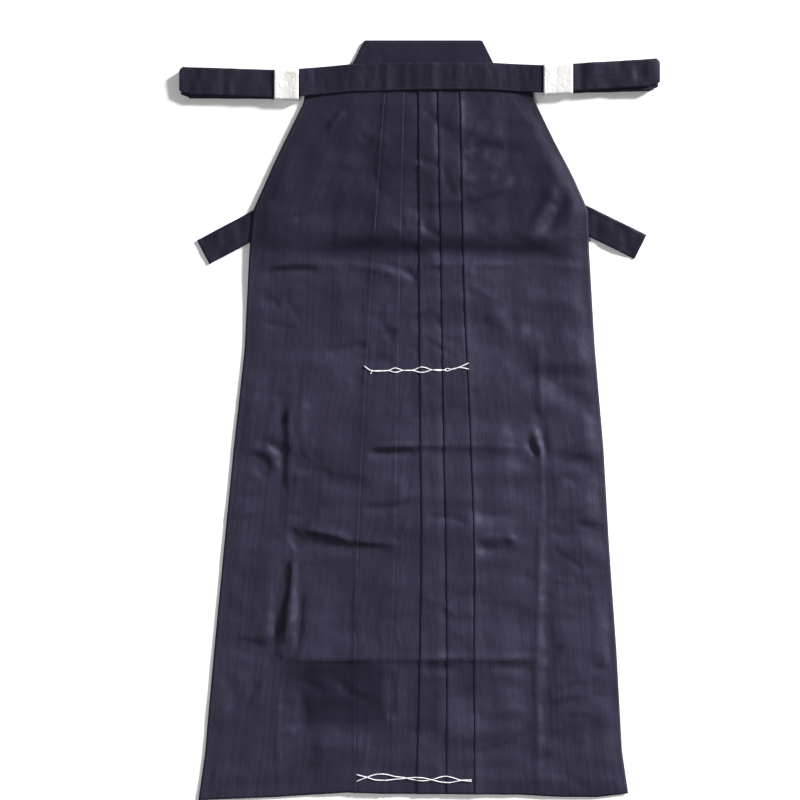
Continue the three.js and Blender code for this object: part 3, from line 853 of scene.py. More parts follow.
def leg_panels() -> list[PleatedPanel]:
    """Lists the panels of the legs and the gussets between them.

    Returns:
        The panels, the lowest first.
    """
    far_left_turn, far_right_turn = beside(FAR_LEFT, SHORT), beside(FAR_RIGHT, -SHORT)
    lap_left, lap_right = beside(FAR_LEFT, -PLEAT_LAP), beside(FAR_RIGHT, PLEAT_LAP)
    front_left = (
        Run("left1", SIDE_LEFT, FAR_LEFT, True),
        Run("left2", FAR_LEFT, lap_left),
        Run("left3", lap_left, NEAR_LEFT, True),
        Run("left4", NEAR_LEFT, far_left_turn),
        Run("left5", far_left_turn, TUCK_END, True),
        Run("left6", TUCK_END, beside(NEAR_LEFT, SHORT)),
    )
    front_right = (
        Run("right1", SIDE_RIGHT, FAR_RIGHT, True),
        Run("right2", FAR_RIGHT, lap_right),
        Run("right3", lap_right, NEAR_RIGHT, True),
        Run("right4", NEAR_RIGHT, far_right_turn),
        Run("right5", far_right_turn, CENTRE, True),
        Run("right6", CENTRE, beside(NEAR_RIGHT, -SHORT)),
    )
    back_left = (
        Run("left1", BACK_LEFT_SIDE, NEAR_LEFT, True),
        Run("left2", NEAR_LEFT, far_left_turn),
        Run("left3", far_left_turn, MIDDLE_LEFT),
    )
    back_right = (
        Run("right1", BACK_RIGHT_SIDE, NEAR_RIGHT, True),
        Run("right2", NEAR_RIGHT, far_right_turn),
        Run("right3", far_right_turn, MIDDLE_RIGHT, True),
    )
    rear = {"height": HEAP.back, "top": 427.0, "rests_on": ("floor",), "row": 6.5, "cell": 6.5}
    fore = {"height": HEAP.front, "top": WAIST_Y + TUCK}
    inner = {"height": HEAP.back, "top": 150.0, "row": 6.5}
    gusset_left = (Run("gusset", beside(NEAR_LEFT, SHORT), MIDDLE_LEFT),)
    gusset_right = (Run("gusset", MIDDLE_RIGHT, beside(NEAR_RIGHT, -SHORT)),)
    return [
        PleatedPanel("back_leg_left", back_left, **rear),
        PleatedPanel("back_leg_right", back_right, **rear),
        PleatedPanel("gusset_left", gusset_left, rests_on=("back_leg_left",), **inner),
        PleatedPanel("gusset_right", gusset_right, rests_on=("back_leg_right",), **inner),
        PleatedPanel("front_leg_left", front_left, rests_on=("back_leg_left",), **fore),
        PleatedPanel("front_leg_right", front_right, rests_on=("back_leg_right",), **fore),
    ]


@dataclass(frozen=True)
class CrossLine:
    """A line across a strap: its two edges, and the height of the strap's middle there."""

    low: Place
    high: Place
    z: float
    turn: Place | None = None  # the way the strap turns back on itself here


@dataclass
class Strap:
    """A strap of cloth through cross lines, folded where a line has a turn."""

    name: str
    lines: Sequence[CrossLine]
    corners: Place = (0.0, 0.0)  # how far a turn's low and high corners are drawn in
    thick: float = BAND_THICK
    step: float = 3.0
    across: int = 14
    corner_from: float = 0.34  # share of the width, from the middle, where a corner begins
    corner_span: float = 0.16
    nose: float = 11.0  # length of strap that a drawn-in corner takes
    floor_gap: float = 0.03
    puckers: tuple[Unevenness, ...] = (
        Unevenness(7.5, 1.0, 41, 3.0),
        Unevenness(21.0, 1.2, 42, 1.2),
    )

    def station(self, low: Place, high: Place, z: float) -> Array:
        """Returns the points of one row across the strap."""
        share = np.linspace(0.0, 1.0, self.across + 1)[:, None]
        line = np.array(low) + share * (np.array(high) - np.array(low))
        return np.concatenate([line, np.full((len(line), 1), z)], axis=1)

    def fold(self, before: CrossLine, after: CrossLine) -> list[Array]:
        """Rounds the strap where it turns back on itself.

        Args:
            before: The line at which it turns.
            after: The line above or below it at which it goes on.

        Returns:
            The rows of the fold.
        """
        rows = []
        radius = abs(after.z - before.z) / 2
        for angle in np.linspace(0.0, math.pi, 5):
            shift = np.array(before.turn) * radius * math.sin(angle)
            z = (before.z + after.z) / 2 + (before.z - after.z) / 2 * math.cos(angle)
            rows.append(self.station(np.array(before.low) + shift, np.array(before.high) + shift, z))
        return rows

    def stretch(self, before: CrossLine, after: CrossLine) -> list[Array]:
        """Lays the strap from one line to the next.

        Args:
            before: The first line.
            after: The next line.

        Returns:
            The rows between them, without the last.
        """
        rows = []
        count = max(1, int(math.dist(before.low, after.low) / self.step))
        for t in (i / count for i in range(count)):
            low = np.array(before.low) + t * (np.array(after.low) - np.array(before.low))
            high = np.array(before.high) + t * (np.array(after.high) - np.array(before.high))
            z = before.z + smooth(np.array(t)) * (after.z - before.z)
            rows.append(self.station(low, high, z))
        return rows

    def points(self) -> Array:
        """Lays the strap along its lines and draws the corners of its folds in.

        Returns:
            The strap's points, one row for each station along it.
        """
        rows = []
        for before, after in zip(self.lines[:-1], self.lines[1:]):
            rows += (self.stretch if before.turn is None else self.fold)(before, after)
        rows.append(self.station(self.lines[-1].low, self.lines[-1].high, self.lines[-1].z))
        points = np.stack(rows)
        share = np.linspace(0.0, 1.0, self.across + 1)
        off = np.clip((np.abs(share - 0.5) - self.corner_from) / self.corner_span, 0.0, 1.0) ** 2
        off = off * np.where(share < 0.5, *self.corners)
        for line in self.lines:
            if line.turn is not None:
                way = np.array(line.turn) / np.linalg.norm(line.turn)
                middle = (np.array(line.low) + np.array(line.high)) / 2
                behind = (middle - points[..., :2].mean(axis=1)) @ way
                near = smooth(1.0 - behind / self.nose) * (behind < self.nose)
                points[..., :2] -= near[:, None, None] * off[:, None] * way
        return points

    def build(self, material: bpy.types.Material) -> None:
        """Makes the strap and states its cut.

        Args:
            material: The strap's cloth.
        """
        points = self.points()
        steps = np.linalg.norm(np.diff(points.mean(axis=1), axis=0), axis=1)
        along = np.concatenate([[0.0], np.cumsum(steps)])
        width = float(np.median(np.linalg.norm(points[:, -1] - points[:, 0], axis=1)))
        share = np.linspace(0.0, 1.0, self.across + 1)
        flat = np.stack(np.broadcast_arrays(share * width, along[:, None]), axis=-1)
        fine, wide = (pucker(points[..., 0], points[..., 1]) for pucker in self.puckers)
        points[..., 2] += fine + wide
        points[..., 2] = np.maximum(points[..., 2], self.thick / 2 + self.floor_gap)
        piece = sheet_mesh(self.name + "_cloth", points, flat, self.thick)
        dress(piece, material)
        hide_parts(self.name)


@dataclass(frozen=True)
class FrontStrapRoute:
    """Where a front strap lies, folded to and fro beside the waistband."""

    side: int
    start: float
    end: float
    middle_y: float
    tilt: float
    fan: float  # how far the lower runs spread at the far end
    sleeve: float  # width of the paper sleeve
    sleeve_shade_span: Place  # between which places along the sleeve its paper gets painted shade
    folds: int = 9
    inner: float = 13.0  # from the waistband's end to the inner folds
    band_height: float = 9.2
    fullness: float = 0.8  # how much thicker the bundle is at its inner end

    def line(self, along: float, z: float, drift: float, turn: int = 0) -> CrossLine:
        """Finds one line across the strap.

        Args:
            along: Its distance from the garment's middle.
            z: Its height over the lowest run.
            drift: How far it lies off the bundle's middle.
            turn: 1 if the strap turns back here at its outer end, -1 at its inner end.

        Returns:
            The line.
        """
        near = self.start + self.inner
        y = self.middle_y + (along - self.start) * math.tan(math.radians(self.tilt)) + drift
        rest = self.fullness * min(1.0, max(0.0, (self.end - along) / (self.end - near)))
        x = self.side * along
        half = STRAP_WIDTH / 2
        floor = BAND_THICK / 2 + 0.1
        way = (self.side * turn, 0.0) if turn else None
        return CrossLine((x, y - half), (x, y + half), floor + z + rest, way)

    def lines(self) -> list[CrossLine]:
        """Folds the strap to and fro, its runs a little uneven.

        Returns:
            The cross lines, from the waistband's end to the strap's own end.
        """
        near = self.start + self.inner + 1.5
        far = self.end - 2.6
        found = [self.line(self.start + 0.3, self.band_height, 0.0)]
        for run in range(self.folds):
            outwards = run % 2 == 0
            z = (self.folds - 1 - run) * BAND_LAYER
            inner = (near + 1.2 * math.sin(2.1 * run), 0.4 * math.sin(1.7 * run))
            outer = (far + 1.6 * math.cos(1.3 * run), -self.fan * (1.0 - math.cos(1.7 * run)) / 2)
            first, last = (inner, outer) if outwards else (outer, inner)
            found.append(self.line(first[0], z, first[1]))
            found.append(self.line(last[0], z, last[1], 1 if outwards else -1))
        return found[:-1] + [CrossLine(found[-1].low, found[-1].high, found[-1].z)]


FRONT_STRAPS = {
    "left": FrontStrapRoute(-1, 159.3, 320.0, 450.3, 1.9, 4.6, 33.0, (2.5, 20.0)),
    "right": FrontStrapRoute(1, 168.7, 325.5, 457.4, 3.5, 6.2, 39.5, (17.5, 36.0)),
}


def turned_lines(lines: list[CrossLine]) -> list[CrossLine]:
    """Starts each run after a turn where the turn left it.

    Args:
        lines: A strap's cross lines.

    Returns:
        The lines, moved.
    """
    joined = lines[:1]
    for before, line in zip(lines[:-1], lines[1:]):
        joined.append(line if before.turn is None else CrossLine(before.low, before.high, line.z))
    return joined


SLANT_RUN = (34.0, 14.0, 60.0)  # along the edges and the middle, past the slant fold
TAIL = 157.0  # length of the end that is folded back, and back again
FLAT_RUN = 70.0  # past it the strap lies on the back legs


def back_strap_lines(route: BackStrapRoute) -> list[CrossLine]:
    """Follows a back strap from the board's corner to its own end.

    Args:
        route: Where it lies.

    Returns:
        Its cross lines.
    """
    way = route.inward
    across = Vector((way.y, -way.x)) * route.side
    half = STRAP_WIDTH / 2 - 0.5
    end = Vector(route.end)
    floor = BAND_THICK / 2 + 0.05
    rise = BAND_THICK + 0.12

    def cross(distance: float, layer: int, turn: int = 0) -> CrossLine:
        """Returns the line at a distance from the visible end, on one of the strap's layers."""
        low, high = end + distance * way - half * across, end + distance * way + half * across
        z = LAYER * min(1.0, max(0.0, distance / FLAT_RUN)) + floor + layer * rise
        nose = (way.x * turn, way.y * turn) if turn else None
        return CrossLine(tuple(low), tuple(high), z, nose)

    turn_at = end + route.corner * way
    bisector = Vector((-way.x, -way.y - 1.0)).normalized()
    reach = half / abs(bisector.x)
    low, high = tuple(turn_at + bisector * reach), tuple(turn_at - bisector * reach)
    nose = tuple(Vector((way.x, way.y - 1.0)).normalized())
    top = BOARD.top - BOARD.height - 0.5
    down = [(route.side * (route.drop_x + w), top) for w in (half, -half)]
    slanted = [
        tuple(end + (route.corner - run) * way + side * half * across)
        for run, side in zip(SLANT_RUN, (-1, 1))
    ]
    return [
        CrossLine(down[0], down[1], floor + LAYER),
        CrossLine(low, high, floor + LAYER, nose),
        CrossLine(low, high, floor + LAYER + rise),
        CrossLine(slanted[0], slanted[1], floor + LAYER + rise),
        cross(route.corner - SLANT_RUN[2], 0),
        cross(FLAT_RUN, 0),
        cross(1.0, 0, -1),
        cross(1.0, 1),
        cross(FLAT_RUN, 1),
        cross(TAIL, 1, 1),
        cross(TAIL, 2),
        cross(FLAT_RUN, 2),
        cross(0.5, 2),
    ]


# ---------------------------------------------------------------- finishes


Socket = bpy.types.NodeSocket
Colour = tuple[float, float, float, float]


class Nodes:
    """A small builder for one material's node tree."""

    def __init__(self, name: str) -> None:
        """Starts a material with a Principled shader.

        Args:
            name: The material's name.
        """
        self.material = bpy.data.materials.new(name)
        self.material.use_nodes = True
        self.tree = self.material.node_tree
        self.shader = self.tree.nodes["Principled BSDF"]

    def add(self, kind: str, inputs: dict | None = None, **settings: object) -> bpy.types.Node:
        """Adds a node.

        Args:
            kind: The node's type name, without its ShaderNode prefix.
            inputs: Values or sockets for its inputs, by name or number.
            settings: Its own properties.

        Returns:
            The new node.
        """
        node = self.tree.nodes.new("ShaderNode" + kind)
        for key, value in settings.items():
            setattr(node, key, value)
        for key, value in (inputs or {}).items():
            if isinstance(value, Socket):
                self.tree.links.new(value, node.inputs[key])
            else:
                node.inputs[key].default_value = value
        return node

    def link(self, source: Socket, name: str) -> None:
        """Feeds one of the shader's sockets."""
        self.tree.links.new(source, self.shader.inputs[name])

    def set(self, **values: object) -> None:
        """Sets the shader's constant sockets; underscores stand for spaces."""
        for key, value in values.items():
            self.shader.inputs[key.replace("_", " ")].default_value = value

    def math(self, operation: str, *values: Socket | float) -> Socket:
        """Returns what an operation gives on numbers or sockets."""
        return self.add("Math", dict(enumerate(values)), operation=operation).outputs[0]

    def place(self) -> Socket:
        """Returns the place on the object."""
        return self.add("TexCoord").outputs["Object"]

    def cut(self) -> Socket:
        """Returns the place on the flat cut."""
        return self.add("UVMap", uv_map="cut").outputs["UV"]

    def noise(self, place: Socket, scale: float, detail: float = 2.0) -> Socket:
        """Returns a noise over a place."""
        noise = self.add("TexNoise", {"Vector": place, "Scale": scale, "Detail": detail})
        return noise.outputs["Fac"]

    def streaks(self, place: Socket, scale: tuple[float, float], detail: float) -> Socket:
        """Returns a noise stretched along one way of the cut."""
        mapped = self.add("Mapping", {"Vector": place, "Scale": (*scale, 1.0)})
        return self.noise(mapped.outputs["Vector"], 1.0, detail)

    def spread(self, value: Socket, source: Place, target: Place = (0.0, 1.0)) -> Socket:
        """Returns a value mapped from one range to another, held at its ends.

        Args:
            value: The value.
            source: Its range.
            target: The range it gets.

        Returns:
            The mapped value.
        """
        ends = {"From Min": source[0], "From Max": source[1], "To Min": target[0], "To Max": target[1]}
        return self.add("MapRange", {"Value": value, **ends}).outputs["Result"]

    def mix(self, factor: Socket, low: Colour, high: Colour) -> Socket:
        """Returns a blend of two colours."""
        node = self.add("Mix", {0: factor, 6: low, 7: high}, data_type="RGBA")
        return node.outputs[2]

    def bump(
        self, height: Socket, strength: float, distance: float, under: Socket | None = None
    ) -> Socket:
        """Adds a fine relief.

        Args:
            height: Its height.
            strength: How strongly it shows, from 0 to 1.
            distance: The depth that a height of 1 stands for, in metres.
            under: The normal that it is laid on.

        Returns:
            The new normal.
        """
        inputs = {"Height": height, "Strength": strength, "Distance": distance}
        if under is not None:
            inputs["Normal"] = under
        return self.add("Bump", inputs).outputs["Normal"]


@dataclass(frozen=True)
class PaintedShadePatch:
    """A patch of painted shade, where the cloth's tone is lowered."""

    low: Place
    high: Place
    strength: float
    blur: float = 9.0
    stray: float = 35.0  # how far its edges wander

    def darken(self, made: Nodes, place: Socket, cloud: Socket, tone: Socket) -> Socket:
        """Lowers a tone inside the patch, with uneven edges.

        Args:
            made: The material.
            place: Object coordinates.
            cloud: A noise that breaks up the edges.
            tone: The tone so far.

        Returns:
            The new tone.
        """
        stray, blur = self.stray * MM, self.blur * MM
        shift = made.spread(cloud, (0.0, 1.0), (-stray, stray))
        parts = made.add("SeparateXYZ", {"Vector": place})
        inside = 1.0
        for axis, low, high in zip("XY", self.low, self.high):
            at = made.math("ADD", parts.outputs[axis], shift)
            for edge, inwards in ((low * MM, blur), (high * MM, -blur)):
                step = made.spread(at, (edge - inwards, edge + inwards))
                inside = made.math("MULTIPLY", inside, step)
        keep = made.spread(inside, (0.0, 1.0), (1.0, 1.0 - self.strength))
        return made.math("MULTIPLY", tone, keep)


@dataclass(frozen=True)
class TwillFinish:
    """Dark twill: a fine diagonal weave, uneven yarns and a soft sheen."""

    name: str
    deep: Colour = (0.0084, 0.0068, 0.0152, 1.0)
    pale: Colour = (0.0308, 0.0266, 0.0482, 1.0)
    sheen: float = 0.05
    roughness: float = 0.50
    rib: float = 1.1  # width of a twill rib, in millimetres
    rib_angle: float = 63.0
    warp: Place = (900.0, 26.0)  # how fine the yarns are across and along themselves
    weft: Place = (22.0, 700.0)
    slub: Place = (240.0, 5.0)
    shares: tuple[float, ...] = (0.3, 0.3, 0.35, 0.15)  # of yarns, slubs, clouds and ribs
    shade_from: float = 240.0  # above the hips the tone is lowered, as painted shade
    shade_over: float = 30.0
    # share of the tone that the painted shade above the hips keeps
    shaded_share: float = 0.4
    # patches of painted shade, where the tone is lowered
    painted_shade_patches: tuple[PaintedShadePatch, ...] = ()

    def tone(self, made: Nodes, cloud: Socket, yarn: Socket, ribs: Socket) -> Socket:
        """Mixes the weave's tone, with painted shade above the hips and in the patches.

        Args:
            made: The material.
            cloud: The broad noise.
            yarn: The warp yarns' noise.
            ribs: The twill ribs.

        Returns:
            The tone, from 0 to 1.
        """
        middle = (0.3, 0.7)
        place = made.place()
        slub = made.streaks(made.cut(), self.slub, 2.0)
        tone = made.math("MULTIPLY", made.spread(yarn, middle), self.shares[0])
        tone = made.math("MULTIPLY_ADD", made.spread(slub, middle), self.shares[1], tone)
        tone = made.math("MULTIPLY_ADD", made.spread(cloud, middle), self.shares[2], tone)
        tone = made.math("MULTIPLY_ADD", ribs, self.shares[3], tone)
        # Painted shade: the tone is lowered above the hips.
        height = made.add("SeparateXYZ", {"Vector": place}).outputs["Y"]
        hips = (self.shade_from * MM, (self.shade_from - self.shade_over) * MM)
        upper_shade = made.spread(made.spread(height, hips), (0.0, 1.0), (self.shaded_share, 1.0))
        tone = made.math("MULTIPLY", tone, upper_shade)
        # Painted shade: the tone is lowered inside each patch.
        for patch in self.painted_shade_patches:
            tone = patch.darken(made, place, cloud, tone)
        return tone

    def build(self) -> bpy.types.Material:
        """Makes the material.

        Returns:
            The material.
        """
        made = Nodes(self.name)
        cut, place = made.cut(), made.place()
        yarn = made.streaks(cut, self.warp, 3.0)
        weft = made.streaks(cut, self.weft, 2.0)
        cloud = made.noise(place, 9.0, 5.0)
        turned = made.add("Mapping", {"Vector": cut, "Rotation": (0, 0, math.radians(self.rib_angle))})
        wave = {
            "Vector": turned.outputs["Vector"],
            "Scale": math.pi / (10.0 * self.rib * MM),
            "Distortion": 0.6,
            "Detail": 2.0,
            "Detail Scale": 1.5,
        }
        ribs = made.add("TexWave", wave, wave_type="BANDS", bands_direction="X").outputs["Fac"]
        made.link(made.mix(self.tone(made, cloud, yarn, ribs), self.deep, self.pale), "Base Color")
        rough = (self.roughness - 0.05, self.roughness + 0.07)
        made.link(made.spread(cloud, (0.3, 0.7), rough), "Roughness")
        relief = made.math("MULTIPLY_ADD", yarn, 0.5, ribs)
        relief = made.math("MULTIPLY_ADD", weft, 0.5, relief)
        weave = made.bump(relief, 0.35, 0.0002)
        made.link(made.bump(made.noise(place, 38.0, 4.0), 0.35, 0.004, weave), "Normal")
        made.set(
            Sheen_Weight=self.sheen,
            Sheen_Roughness=0.38,
            Sheen_Tint=(0.50, 0.45, 0.86, 1.0),
            Specular_IOR_Level=0.15,
            Specular_Tint=(0.80, 0.76, 1.0, 1.0),
        )
        return made.material


@dataclass(frozen=True)
class PaperFinish:
    """Thin white paper with faint fibres and creases, with painted shade over part of its length."""

    name: str
    lap: Place  # between which places along the sleeve its shade is painted
    blur: float = 0.8
    white: Colour = (0.60, 0.60, 0.61, 1.0)
    shade: Colour = (0.50, 0.48, 0.47, 1.0)

    def build(self) -> bpy.types.Material:
        """Makes the material.

        Returns:
            The material.
        """
        made = Nodes(self.name)
        place = made.place()
        # Painted shade: the paper is greyer and mottled between the places of lap.
        along = made.add("SeparateXYZ", {"Vector": made.cut()}).outputs["Y"]
        start, stop = ((edge - self.blur) * MM for edge in self.lap)
        wide = 2 * self.blur * MM
        lap = made.math(
            "MULTIPLY",
            made.spread(along, (start, start + wide)),
            made.spread(along, (stop + wide, stop)),
        )
        mottle = made.spread(made.noise(place, 45.0, 3.0), (-0.6, 0.75))
        made.link(made.mix(made.math("MULTIPLY", lap, mottle), self.white, self.shade), "Base Color")
        cells = made.add("TexVoronoi", {"Vector": place, "Scale": 90.0}, feature="DISTANCE_TO_EDGE")
        creases = made.spread(cells.outputs["Distance"], (0.0, 0.12))
        fibres = made.bump(made.noise(place, 420.0, 4.0), 0.15, 0.0003)
        made.link(made.bump(creases, 0.25, 0.001, fibres), "Normal")
        made.set(Roughness=0.85, Specular_IOR_Level=0.3)
        return made.material


@dataclass(frozen=True)
class ThreadFinish:
    """Spun thread: a plain colour that varies along it, with a twisted relief."""

    name: str
    colour: Colour
    dark: Colour
    twist: float = 900.0

    def build(self) -> bpy.types.Material:
        """Makes the material.

        Returns:
            The material.
        """
        made = Nodes(self.name)
        place = made.place()
        shade = made.spread(made.noise(place, 260.0), (0.35, 0.7))
        made.link(made.mix(shade, self.colour, self.dark), "Base Color")
        ply = made.add("TexWave", {"Vector": place, "Scale": self.twist}, bands_direction="DIAGONAL")
        made.link(made.bump(ply.outputs["Fac"], 0.3, 0.0003), "Normal")
        made.set(Roughness=0.7, Sheen_Weight=0.3)
        return made.material


# ---------------------------------------------------------------- sub-assemblies


@dataclass(frozen=True)
class Waistband:
    """The front waistband, one strip folded over the tops of the front panels."""

    left: float = -159.3
    right: float = 168.7
    low: float = WAIST_Y
    back: float = 4.2  # height of the strip behind the panels
    gap: float = 0.3
    side_y: float = 436.0
    end_lift: float = 3.9  # its ends rise towards the bundles
    end_reach: float = 34.0
    cell: float = 1.6
    fold: float = 1.4  # depth of the fold at its top
    hem: float = 5.0  # width over which the puckers grow from the edges
    calm: float = 0.25
    puckers: tuple[Unevenness, ...] = (
        Unevenness(4.5, 0.34, 21, 3.0),
        Unevenness(12.0, 0.42, 22, 2.2),
        Unevenness(60.0, 0.6, 23, 2.0),
    )

    def under(self, x: Array) -> Array:
        """Works out what the band's front face lies on.

        Args:
            x: Places along the band.

        Returns:
            The heights.
        """
        inside = np.clip(x, SIDE_LEFT(self.side_y) + 4.0, SIDE_RIGHT(self.side_y) - 4.0)
        rise = piled(list(FRONT_STACK.values()), inside, np.full_like(x, self.low - 6.0))
        from_end = np.minimum(x - self.left, self.right - x)
        lift = self.end_lift * smooth(1.0 - from_end / self.end_reach)
        return self.back + 0.2 + BAND_LAYER + LAYER * rise + lift

    def lump(self, x: Array, y: Array) -> Array:
        """Returns the height of the band's puckers at each place."""
        return sum((pucker(x, y) for pucker in self.puckers), np.zeros_like(x))

    def points(self) -> Array:
        """Runs up the band's face, over its top and down its back.

        Returns:
            The strip's points: across its width, then along the waist.
        """
        x = np.linspace(self.left, self.right, int((self.right - self.left) / self.cell) + 1)
        face = self.under(x) + BAND_THICK / 2 + self.gap
        back = self.back + BAND_THICK / 2
        radius = (face - back) / 2
        top = self.low + STRAP_WIDTH - self.fold
        rows = []
        for y in np.linspace(self.low, top, 15):
            edge = smooth(np.array(min(y - self.low, self.low + STRAP_WIDTH - y) / self.hem))
            lump = self.lump(x, np.full_like(x, y)) * (self.calm + (1.0 - self.calm) * edge)
            rows.append((x, np.full_like(x, y), face + lump))
        for angle in np.linspace(0.35, math.pi - 0.35, 5):
            y = top + self.fold * math.sin(angle)
            rows.append((x, np.full_like(x, y), back + radius + radius * math.cos(angle)))
        for y in np.linspace(top, self.low + 1.0, 6):
            rows.append((x, np.full_like(x, y), np.full_like(x, back)))
        grid = np.stack([np.stack(row, axis=-1) for row in rows])
        grid[..., 1] -= np.interp(grid[..., 0], *SAG_WAIST)
        return grid

    def build(self, material: bpy.types.Material) -> None:
        """Makes the band and states its cut.

        Args:
            material: The band's cloth.
        """
        points = self.points()
        steps = np.linalg.norm(np.diff(points, axis=0), axis=2)
        across = np.concatenate([np.zeros((1, points.shape[1])), np.cumsum(steps, axis=0)])
        flat = np.stack([points[..., 0], across], axis=-1)
        piece = sheet_mesh("front_waistband_cloth", points, flat, BAND_THICK)
        dress(piece, material)
        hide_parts("front_waistband")

    def surface(self, x: float, y: float) -> float:
        """Returns the height of the band's face at one place."""
        at = np.array([x])
        return float((self.under(at) + BAND_THICK + self.gap + self.lump(at, np.array([y])))[0])


@dataclass(frozen=True)
class BackBoard:
    """The stiff board with cloth glued over it, its cover turned in and topstitched."""

    board: Board = BOARD
    corner: float = 2.6
    round_over: float = 1.0
    steep: float = 1.2  # angle between two faces, in radians, past which an edge is rounded
    level: float = 0.9  # z of a normal, past which a face is level

    def round_edges(self, bm: bmesh.types.BMesh, edges: list, offset: float, segments: int) -> None:
        """Rounds some edges of the board.

        Args:
            bm: The board.
            edges: Its edges to round.
            offset: The radius.
            segments: How many faces make the round.
        """
        bmesh.ops.bevel(
            bm,
            geom=edges,
            offset=offset * MM,
            segments=segments,
            profile=0.5,
            affect="EDGES",
            material=-1,
        )

    def build(self, material: bpy.types.Material) -> None:
        """Makes the board as a plate with rounded corners and edges.

        Args:
            material: The cloth of its cover.
        """
        b = self.board
        bm = bmesh.new()
        bmesh.ops.create_cube(bm, size=1.0)
        for vertex in bm.verts:
            upper = vertex.co.y > 0
            half = (b.top_width if upper else b.bottom_width) / 2
            x = b.middle + half * (1 if vertex.co.x > 0 else -1)
            y = b.top if upper else b.top - b.height
            z = b.thick if vertex.co.z > 0 else HEAP.floor_gap
            vertex.co = Vector((x, y, z)) * MM
        rises = [(e, abs(e.verts[0].co.z - e.verts[1].co.z)) for e in bm.edges]
        self.round_edges(bm, [e for e, rise in rises if rise > 0.5 * MM], self.corner, 5)
        rises = [(e, abs(e.verts[0].co.z - e.verts[1].co.z)) for e in bm.edges]
        rim = [e for e, rise in rises if e.calc_face_angle(0.0) > self.steep and rise < 0.1 * MM]
        self.round_edges(bm, rim, self.round_over, 4)
        caps = [f for f in bm.faces if abs(f.normal.z) > self.level and f.calc_area() > 1e-3]
        bmesh.ops.triangulate(bm, faces=caps)
        long_edges = [
            e
            for e in bm.edges
            if e.calc_length() > 12 * MM and all(abs(f.normal.z) > self.level for f in e.link_faces)
        ]
        bmesh.ops.subdivide_edges(bm, edges=long_edges, cuts=6, use_grid_fill=True)
        uv = bm.loops.layers.uv.new("cut")
        for face in bm.faces:
            face.smooth = abs(face.normal.z) < 0.99
            for loop in face.loops:
                loop[uv].uv = loop.vert.co.xy
        piece = finished("back_board_cover", bm)
        dress(piece, material)
        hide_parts("back_board")
        LOG.info("back_board: %.0f mm high", b.height)


@dataclass(frozen=True)
class PaperSleeve:
    """A paper sleeve wrapped round a bundle, its end lapped over its start on top."""

    name: str
    route: FrontStrapRoute
    paper: float = 0.35
    half: float = 20.4
    corner: float = 2.2
    headroom: float = 1.6
    lap: float = 0.5  # how far its end stands over its start
    step: float = 2.0
    crumple: Unevenness = Unevenness(8.0, 0.4, 31, 1.4)

    def section(self) -> list[Place]:
        """Goes round the bundle.

        Returns:
            The sleeve's section, as (y, z) from its start round to its lapped end.
        """
        top = self.route.folds * BAND_LAYER + self.headroom
        flank = self.half - self.corner
        found = [(-flank + 4.0, top - self.paper)]
        centres = (
            (flank, top - self.corner),
            (flank, self.corner + 0.3),
            (-flank, self.corner + 0.3),
            (-flank, top - self.corner),
        )
        for quarter, (cy, cz) in enumerate(centres):
            for i in range(6):
                angle = math.radians(90.0 - 90.0 * quarter - 18.0 * i)
                found.append((cy + self.corner * math.cos(angle), cz + self.corner * math.sin(angle)))
        return found + [(0.0, top + self.lap), (flank, top + self.lap + 0.05)]

    def ring(self) -> Array:
        """Returns the section with points no further apart than the step."""
        dense = []
        section = self.section()
        for (ay, az), (by, bz) in zip(section[:-1], section[1:]):
            count = max(1, int(math.hypot(by - ay, bz - az) / self.step))
            dense += [(ay + (by - ay) * i / count, az + (bz - az) * i / count) for i in range(count)]
        return np.array(dense + section[-1:])

    def build(self, material: bpy.types.Material) -> None:
        """Makes the sleeve.

        Args:
            material: Its paper.
        """
        route = self.route
        rise = math.tan(math.radians(route.tilt)) - route.fan / 2 / (route.end - route.start)
        ring = self.ring()
        along = np.linspace(0.4, route.sleeve, 18)
        rows = []
        for a in along:
            x = np.full(len(ring), route.side * (route.start + a))
            y = route.middle_y + ring[:, 0] + a * rise
            z = ring[:, 1] + np.where(ring[:, 1] > 6.0, self.crumple(x, y), 0.0)
            rows.append(np.stack([x, y, z], axis=-1))
        around = np.concatenate([[0], np.cumsum(np.hypot(*np.diff(ring, axis=0).T))])
        flat = np.stack(np.broadcast_arrays(around[None, :], along[:, None]), axis=-1)
        piece = sheet_mesh(self.name + "_paper", np.stack(rows), flat, self.paper)
        dress(piece, material)
        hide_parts(self.name)
        LOG.info("%s: %.1f mm wide, %.0f mm round", self.name, route.sleeve, around[-1])


@dataclass(frozen=True)
class Threads:
    """Threads as thin tubes along places given on the garment."""

    name: str
    routes: Sequence[Sequence[tuple[float, float, float]]]
    radius: float = 0.68
    sides: int = 6

    def build(self, material: bpy.types.Material) -> None:
        """Makes every tube in one mesh.

        Args:
            material: The thread.
        """
        bm = bmesh.new()
        for route in self.routes:
            rings = []
            for i, point in enumerate(route):
                before, after = route[max(0, i - 1)], route[min(len(route) - 1, i + 1)]
                way = (Vector(after) - Vector(before)).normalized()
                turn = way.to_track_quat("Z", "Y").to_matrix().to_4x4()
                turn.translation = Vector(point) * MM
                made = bmesh.ops.create_circle(
                    bm, cap_ends=False, radius=self.radius * MM, segments=self.sides, matrix=turn
                )
                verts = made["verts"]
                rings.append(list({e for v in verts for e in v.link_edges}))
            for ring, after in zip(rings[:-1], rings[1:]):
                bmesh.ops.bridge_loops(bm, edges=ring + after)
            for ring in (rings[0], rings[-1]):
                bmesh.ops.holes_fill(bm, edges=ring, sides=self.sides)
        bmesh.ops.recalc_face_normals(bm, faces=bm.faces)
        for face in bm.faces:
            face.smooth = True
        piece = finished(self.name, bm)
        dress(piece, material)
        LOG.info("%s: %d threads", self.name, len(self.routes))


